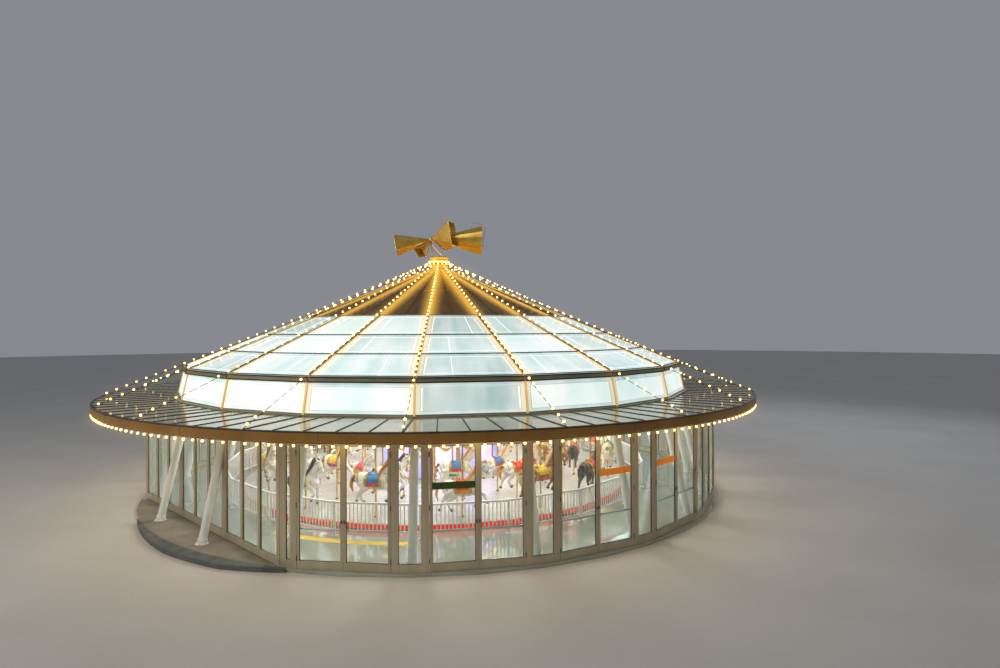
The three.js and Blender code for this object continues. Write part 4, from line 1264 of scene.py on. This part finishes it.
def make_hub_plate():
    """The plate that carries the sweeps, with a gilded line round its edge and its bolts."""
    piece = Piece("sweep_hub_plate", "steel", "gold", "dark_steel")
    profile = [(PLATE_IN, PLATE_BOTTOM), (PLATE_OUT - 0.01, PLATE_BOTTOM), (PLATE_OUT, PLATE_BOTTOM + 0.02),
               (PLATE_OUT, PLATE_TOP - 0.02), (PLATE_OUT - 0.03, PLATE_TOP), (PLATE_IN, PLATE_TOP)]
    piece.turned(profile, 48, "steel", 0)
    piece.ring((PLATE_OUT - 0.005, PLATE_OUT + 0.02), (SWEEP_MIDDLE, SWEEP_MIDDLE + 0.04), 48, "gold", 0)
    for rank in range(RANKS):
        bolt = polar(0.66, (rank + 0.5) * RANK_ANGLE, PLATE_TOP)
        piece.tube([bolt, bolt + UP * 0.02], 0.03, 6, "dark_steel")
    place_piece(piece, "ride", ("sweep_hub",))


def make_drum():
    """Sixteen framed panels round the machinery, each with an oval mirror and a row of bulbs."""
    piece = Piece("drum_casing", "cream", "blue", "gold", "mirror", "bulb_soft", "violet")
    piece.ring((0.2, DRUM_RADIUS - 0.05), (FLOOR_TOP, DRUM_TOP - 0.02), RANKS, "cream", 0)
    half = chord(DRUM_RADIUS - 0.02, RANK_ANGLE)[0]
    distance = chord(DRUM_RADIUS - 0.05, RANK_ANGLE)[1]
    for rank in range(RANKS):
        place = flat_side((rank + 0.5) * RANK_ANGLE, distance)
        panel = (DRUM_PLINTH + 0.05, DRUM_CORNICE - 0.04)
        # Each field is blue or violet paint with a painted glow on it
        piece.box((-half + 0.05, half - 0.05), (0.0, 0.012), panel, place, "blue" if rank % 2 else "violet")
        for edge in (-half + 0.02, half - 0.06):
            piece.box((edge, edge + 0.04), (0.0, 0.035), (FLOOR_TOP, DRUM_TOP), place, "gold")
        for low, high, look in ((FLOOR_TOP, DRUM_PLINTH, "cream"),
                                (DRUM_PLINTH, DRUM_PLINTH + 0.04, "gold"),
                                (DRUM_CORNICE - 0.04, DRUM_CORNICE, "gold"),
                                (DRUM_CORNICE, DRUM_TOP, "cream")):
            piece.box((-half, half), (0.0, 0.03), (low, high), place, look)
        oval_mirror(piece, place, Vector((0, -0.012, 1.75)), (0, 0.014, 0.022), (0.47, 0.27), (0.43, 0.23),
                    (0.021, 0.026), (0.41, 0.21))
        for share in shares(DRUM_BULBS):
            point = place @ Vector((lerp(-half, half, share), -0.045, 2.77))
            piece.ball(point, RIDE_BULB_RADIUS, "bulb_soft")
    place_piece(piece, replaces=("centre_drum",), sharp=30)


# Mounts, in their own space: X ahead, Z up, the seat at the origin

def flank(points, y=0.0):
    """Points given as X and Z, at one distance to the side."""
    return [Vector((x, y, z)) for x, z in points]


# Trunk, neck and head as a row of sections: X, Z, half width and half height
TRUNK = ((-0.57, 0.07, 0.06, 0.07), (-0.50, 0.07, 0.14, 0.16), (-0.38, 0.05, 0.20, 0.215),
         (-0.20, 0.0, 0.185, 0.195), (0.0, -0.03, 0.185, 0.185), (0.20, -0.01, 0.195, 0.205),
         (0.36, 0.04, 0.165, 0.20), (0.47, 0.09, 0.09, 0.13))
NECK = ((0.24, 0.10, 0.12, 0.20), (0.37, 0.28, 0.09, 0.155), (0.46, 0.44, 0.07, 0.12),
        (0.52, 0.58, 0.055, 0.085))
HEAD = ((0.49, 0.61, 0.05, 0.06), (0.56, 0.57, 0.075, 0.10), (0.64, 0.47, 0.058, 0.07),
        (0.70, 0.38, 0.045, 0.05), (0.745, 0.33, 0.035, 0.036))
# Legs from the body down to the hoof, and their radii
FRONT_LEGS = {
    "reach": ((0.36, -0.06), (0.48, -0.17), (0.60, -0.22), (0.66, -0.36), (0.70, -0.42)),
    "tuck": ((0.34, -0.08), (0.46, -0.20), (0.50, -0.29), (0.38, -0.38), (0.35, -0.46)),
    "stand": ((0.34, -0.08), (0.38, -0.26), (0.38, -0.36), (0.38, -0.50), (0.36, -0.57)),
}
HIND_LEGS = {
    "push": ((-0.38, 0.0), (-0.36, -0.18), (-0.52, -0.35), (-0.57, -0.49), (-0.59, -0.57)),
    "under": ((-0.36, 0.0), (-0.26, -0.19), (-0.42, -0.33), (-0.36, -0.47), (-0.30, -0.53)),
}
FRONT_RADII = (0.10, 0.066, 0.05, 0.034, 0.038)
HIND_RADII = (0.15, 0.105, 0.052, 0.036, 0.04)
# Each pose: its left and right front legs, then its left and right hind legs
POSES = (
    ("reach", "tuck", "push", "under"),
    ("tuck", "tuck", "push", "push"),
    ("stand", "tuck", "push", "under"),
)


def mount_legs(pose):
    """Each leg of a pose: its points and its radii."""
    front = [(flank(FRONT_LEGS[name], y), FRONT_RADII) for name, y in zip(pose[:2], (0.105, -0.105))]
    hind = [(flank(HIND_LEGS[name], y), HIND_RADII) for name, y in zip(pose[2:], (0.11, -0.11))]
    return front + hind


def mount_body(pose):
    """The carved body: trunk, neck, head and legs, melted into one skin."""
    piece = Piece("carving")
    for sections, sides in ((TRUNK, 16), (NECK, 14), (HEAD, 14)):
        radii = [section[2:] for section in sections]
        piece.tube(flank(section[:2] for section in sections), radii, sides, across=SIDE)
    for leg, radii in mount_legs(pose):
        piece.tube(leg, radii, 12, across=SIDE)
    for y in (0.045, -0.045):
        ear = [Vector((0.51, y, 0.64)), Vector((0.50, y * 1.2, 0.71)), Vector((0.52, y * 1.3, 0.755))]
        piece.tube(ear, [0.028, 0.026, 0.008], 8)
    carving = piece.build()
    skin = carving.modifiers.new("skin", "REMESH")
    skin.mode = "VOXEL"
    skin.voxel_size = SKIN_VOXEL
    soft = carving.modifiers.new("soft", "SMOOTH")
    soft.factor = 0.5
    soft.iterations = 7
    thin = carving.modifiers.new("thin", "DECIMATE")
    thin.ratio = SKIN_SHARE
    depsgraph = bpy.context.evaluated_depsgraph_get()
    data = bpy.data.meshes.new_from_object(carving.evaluated_get(depsgraph))
    bpy.data.objects.remove(carving)
    return [v.co.copy() for v in data.vertices], [tuple(p.vertices) for p in data.polygons]


def strap(piece, centre, along, wide, high, look, thick=0.012):
    """A band round the trunk, neck or head, across the direction along."""
    along = Vector(along).normalized()
    rise = along.cross(SIDE).normalized()
    middle = Vector((centre[0], 0, centre[1]))
    count = 20
    sections = []
    for i in range(count):
        turn = 2 * math.pi * i / count
        section = []
        for grow, shift in ((0.0, -thick), (0.0, thick), (0.008, thick), (0.008, -thick)):
            reach = SIDE * ((wide + grow) * math.cos(turn)) + rise * ((high + grow) * math.sin(turn))
            section.append(middle + reach + along * shift)
        sections.append(section)
    piece.loft(sections, look, closed=True)


def cloth(piece, low, high, look, wide=0.2, deep=0.21, reach=112):
    """A saddle cloth hung over the back between two places along it."""
    steps = 14
    sections = []
    for i in range(steps + 1):
        turn = math.radians(lerp(-reach, reach, i / steps))
        flare = 0.02 * abs(math.sin(turn))
        section = []
        for grow, x in ((0.0, low - flare), (0.0, high + flare), (0.014, high + flare), (0.014, low - flare)):
            across, upward = (wide + grow) * math.sin(turn), (deep + grow) * math.cos(turn)
            section.append(Vector((x, across, upward - 0.01)))
        sections.append(section)
    piece.loft(sections, look)


def mount_harness(piece, seat, under, trim):
    """Saddle, cloths, girth, straps, reins and stirrups."""
    cloth(piece, -0.24, 0.20, under)
    cloth(piece, -0.25, -0.225, trim, 0.205, 0.215)
    cloth(piece, 0.185, 0.21, trim, 0.205, 0.215)
    cloth(piece, -0.17, 0.13, seat, 0.213, 0.222, 84)
    saddle = flank(((-0.17, 0.25), (-0.13, 0.215), (-0.03, 0.195), (0.08, 0.205), (0.13, 0.25)))
    radii = [(0.10, 0.03), (0.125, 0.035), (0.11, 0.035), (0.09, 0.035), (0.05, 0.03)]
    piece.tube(saddle, radii, 14, seat, across=SIDE)
    strap(piece, (0.02, -0.025), (1, 0, 0), 0.192, 0.195, trim)
    strap(piece, (0.40, 0.04), (0.9, 0, 0.5), 0.16, 0.20, trim)
    strap(piece, (-0.44, 0.06), (1, 0, 0.2), 0.18, 0.195, trim)
    strap(piece, (0.555, 0.565), (0.5, 0, -0.8), 0.078, 0.104, trim, 0.009)
    strap(piece, (0.665, 0.435), (0.6, 0, -0.8), 0.056, 0.066, trim, 0.009)
    for y in (0.062, -0.062):
        rein = ((0.665, y, 0.42), (0.52, y * 1.8, 0.30), (0.36, y * 2.1, 0.26), (0.13, y * 0.6, 0.25))
        leather = ((0.03, y * 3.5, -0.02), (0.02, y * 3.55, -0.2))
        for line in (rein, leather):
            piece.tube([Vector(point) for point in line], 0.008, 8, trim)
        piece.box((-0.02, 0.06), (y * 3.3 - 0.02, y * 3.3 + 0.02), (-0.225, -0.205), None, trim)
        piece.ball(Vector((0.40, y * 2.9, 0.06)), 0.026, trim)


def mount_hair(piece, mane):
    """Locks of the mane swept back to one side, the forelock and the tail."""
    sweep_back = Vector((-0.10, -0.085, -0.05))
    for step in range(9):
        root = lerp(Vector((0.20, 0, 0.30)), Vector((0.47, 0, 0.69)), step / 8)
        path = [root + Vector((0.04, 0, -0.02)), root + Vector((-0.015, -0.04, 0.015)),
                root + sweep_back * 0.8, root + sweep_back * 1.3 + Vector((0.01, -0.01, -0.09))]
        piece.tube(path, [0.03, 0.036, 0.026, 0.006], 8, mane)
    forelock = [Vector((0.50, 0, 0.70)), Vector((0.57, 0, 0.67)), Vector((0.615, -0.015, 0.60))]
    piece.tube(forelock, [0.022, 0.026, 0.006], 8, mane)
    for y, lift in ((0.0, 0.0), (0.035, 0.02), (-0.035, 0.02), (0.018, -0.03), (-0.018, -0.03)):
        tail = ((-0.53, y * 0.4, 0.14), (-0.61, y, 0.13 + lift), (-0.68, y * 1.5, 0.0 + lift),
                (-0.70, y * 1.6, -0.14), (-0.66, y, -0.27 + lift))
        piece.tube([Vector(point) for point in tail], [0.028, 0.034, 0.036, 0.026, 0.006], 8, mane)


def dress_mount(piece, pose):
    """Harness, eyes, hair and hooves; coat, mane, hoof, saddle, cloth, trim and eye are materials 0 to 6."""
    mane, hoof, seat, under, trim, eye = range(1, 7)
    mount_harness(piece, seat, under, trim)
    for y in (0.062, -0.062):
        piece.ball(Vector((0.575, y * 1.05, 0.585)), 0.015, eye)
    mount_hair(piece, mane)
    for leg, _ in mount_legs(pose):
        ankle, foot = leg[3:]
        toe = (foot - ankle).normalized()
        piece.tube([foot - toe * 0.03, foot + toe * 0.035], [0.042, 0.054], 10, hoof)


# Each scheme: coat, second coat colour, mane, saddle and cloth
SCHEMES = (
    ((0.84, 0.83, 0.80), (0.72, 0.72, 0.72), (0.86, 0.34, 0.04), (0.78, 0.06, 0.03), (0.90, 0.40, 0.02)),
    ((0.82, 0.62, 0.30), (0.88, 0.74, 0.46), (0.88, 0.84, 0.76), (0.04, 0.30, 0.20), (0.88, 0.30, 0.02)),
    ((0.86, 0.86, 0.84), (0.80, 0.80, 0.80), (0.12, 0.10, 0.09), (0.88, 0.24, 0.02), (0.04, 0.36, 0.36)),
    ((0.34, 0.14, 0.05), (0.44, 0.20, 0.08), (0.70, 0.52, 0.24), (0.92, 0.60, 0.04), (0.70, 0.05, 0.06)),
    ((0.52, 0.50, 0.48), (0.80, 0.79, 0.77), (0.88, 0.88, 0.86), (0.72, 0.03, 0.14), (0.90, 0.64, 0.06)),
    ((0.86, 0.84, 0.80), (0.78, 0.74, 0.68), (0.74, 0.30, 0.06), (0.05, 0.22, 0.50), (0.78, 0.08, 0.08)),
    ((0.06, 0.05, 0.05), (0.10, 0.08, 0.07), (0.05, 0.04, 0.04), (0.80, 0.07, 0.04), (0.90, 0.66, 0.08)),
    ((0.84, 0.80, 0.72), (0.74, 0.66, 0.54), (0.42, 0.26, 0.12), (0.92, 0.50, 0.03), (0.50, 0.08, 0.40)),
)
HOOF_COLOURS = ((0.10, 0.08, 0.06), (0.16, 0.13, 0.10))


def shaded(colour, share):
    """A colour and a darker shade of it."""
    return colour, tuple(c * share for c in colour)


def add_mount_looks(number, scheme):
    """Adds a scheme's materials to the looks, and names the materials of its mounts in their order."""
    coat, second, mane, seat, under = scheme
    pairs = {"coat": (coat, second), "mane": shaded(mane, 0.8), "hoof": HOOF_COLOURS,
             "saddle": shaded(seat, 0.75), "cloth": shaded(under, 0.8)}
    names = []
    for part, colours in pairs.items():
        name = f"mount_{number}_{part}"
        looks[name] = surface(name, *colours, 0.3, 6, 40, 0.002, coat_weight=0.5)
        names.append(name)
    return *names, "gold", "gasket"


def make_mounts():
    """Three abreast on every rank, in turned poses and colours, facing the way the ride turns."""
    bodies = [mount_body(pose) for pose in POSES]
    palettes = [add_mount_looks(number, scheme) for number, scheme in enumerate(SCHEMES, 1)]
    meshes = {}
    for rank in range(RANKS):
        for order, (radius, scale, seat) in enumerate(ROWS):
            pose, scheme = (rank + order) % len(POSES), (3 * rank + 5 * order) % len(SCHEMES)
            if (pose, scheme) not in meshes:
                piece = Piece(f"mount_shape_{pose + 1}_{scheme + 1}", *palettes[scheme])
                piece.add(*bodies[pose])
                dress_mount(piece, POSES[pose])
                meshes[pose, scheme] = piece.mesh(50)
            made = bpy.data.objects.new(f"mount_{rank + 1}_{order + 1}", meshes[pose, scheme])
            angle = (rank + 0.5) * RANK_ANGLE
            lift = MOUNT_LIFT if (rank + order) % 2 else -MOUNT_LIFT
            made.matrix_world = (Matrix.Translation(polar(radius, angle, seat + lift))
                                 @ Matrix.Rotation(math.radians(angle), 4, "Z") @ Matrix.Scale(scale, 4))
            bpy.context.scene.collection.objects.link(made)
            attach(made, "ride")


make_camera()
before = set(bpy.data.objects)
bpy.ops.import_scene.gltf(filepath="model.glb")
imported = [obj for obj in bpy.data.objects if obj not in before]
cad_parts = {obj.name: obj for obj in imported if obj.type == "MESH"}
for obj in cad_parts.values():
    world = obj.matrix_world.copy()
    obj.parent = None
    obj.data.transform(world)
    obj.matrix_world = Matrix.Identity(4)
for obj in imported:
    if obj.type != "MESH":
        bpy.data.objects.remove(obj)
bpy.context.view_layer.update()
looks = make_looks()
make_studio()
add_lens_glow()
make_floor()
make_fixed_walls()
make_recess_wall()
make_side_lights()
make_doors()
make_structure()
make_roof_glass()
make_roof_ribs()
make_cap()
make_clerestory()
make_gutter()
make_canopy()
make_collar()
make_ornament()
make_rib_strings()
make_rim_string()
make_ground_works()
make_paving()
make_curb()
make_fence()
make_platform()
make_ride_works()
make_hub_plate()
make_drum()
make_mounts()
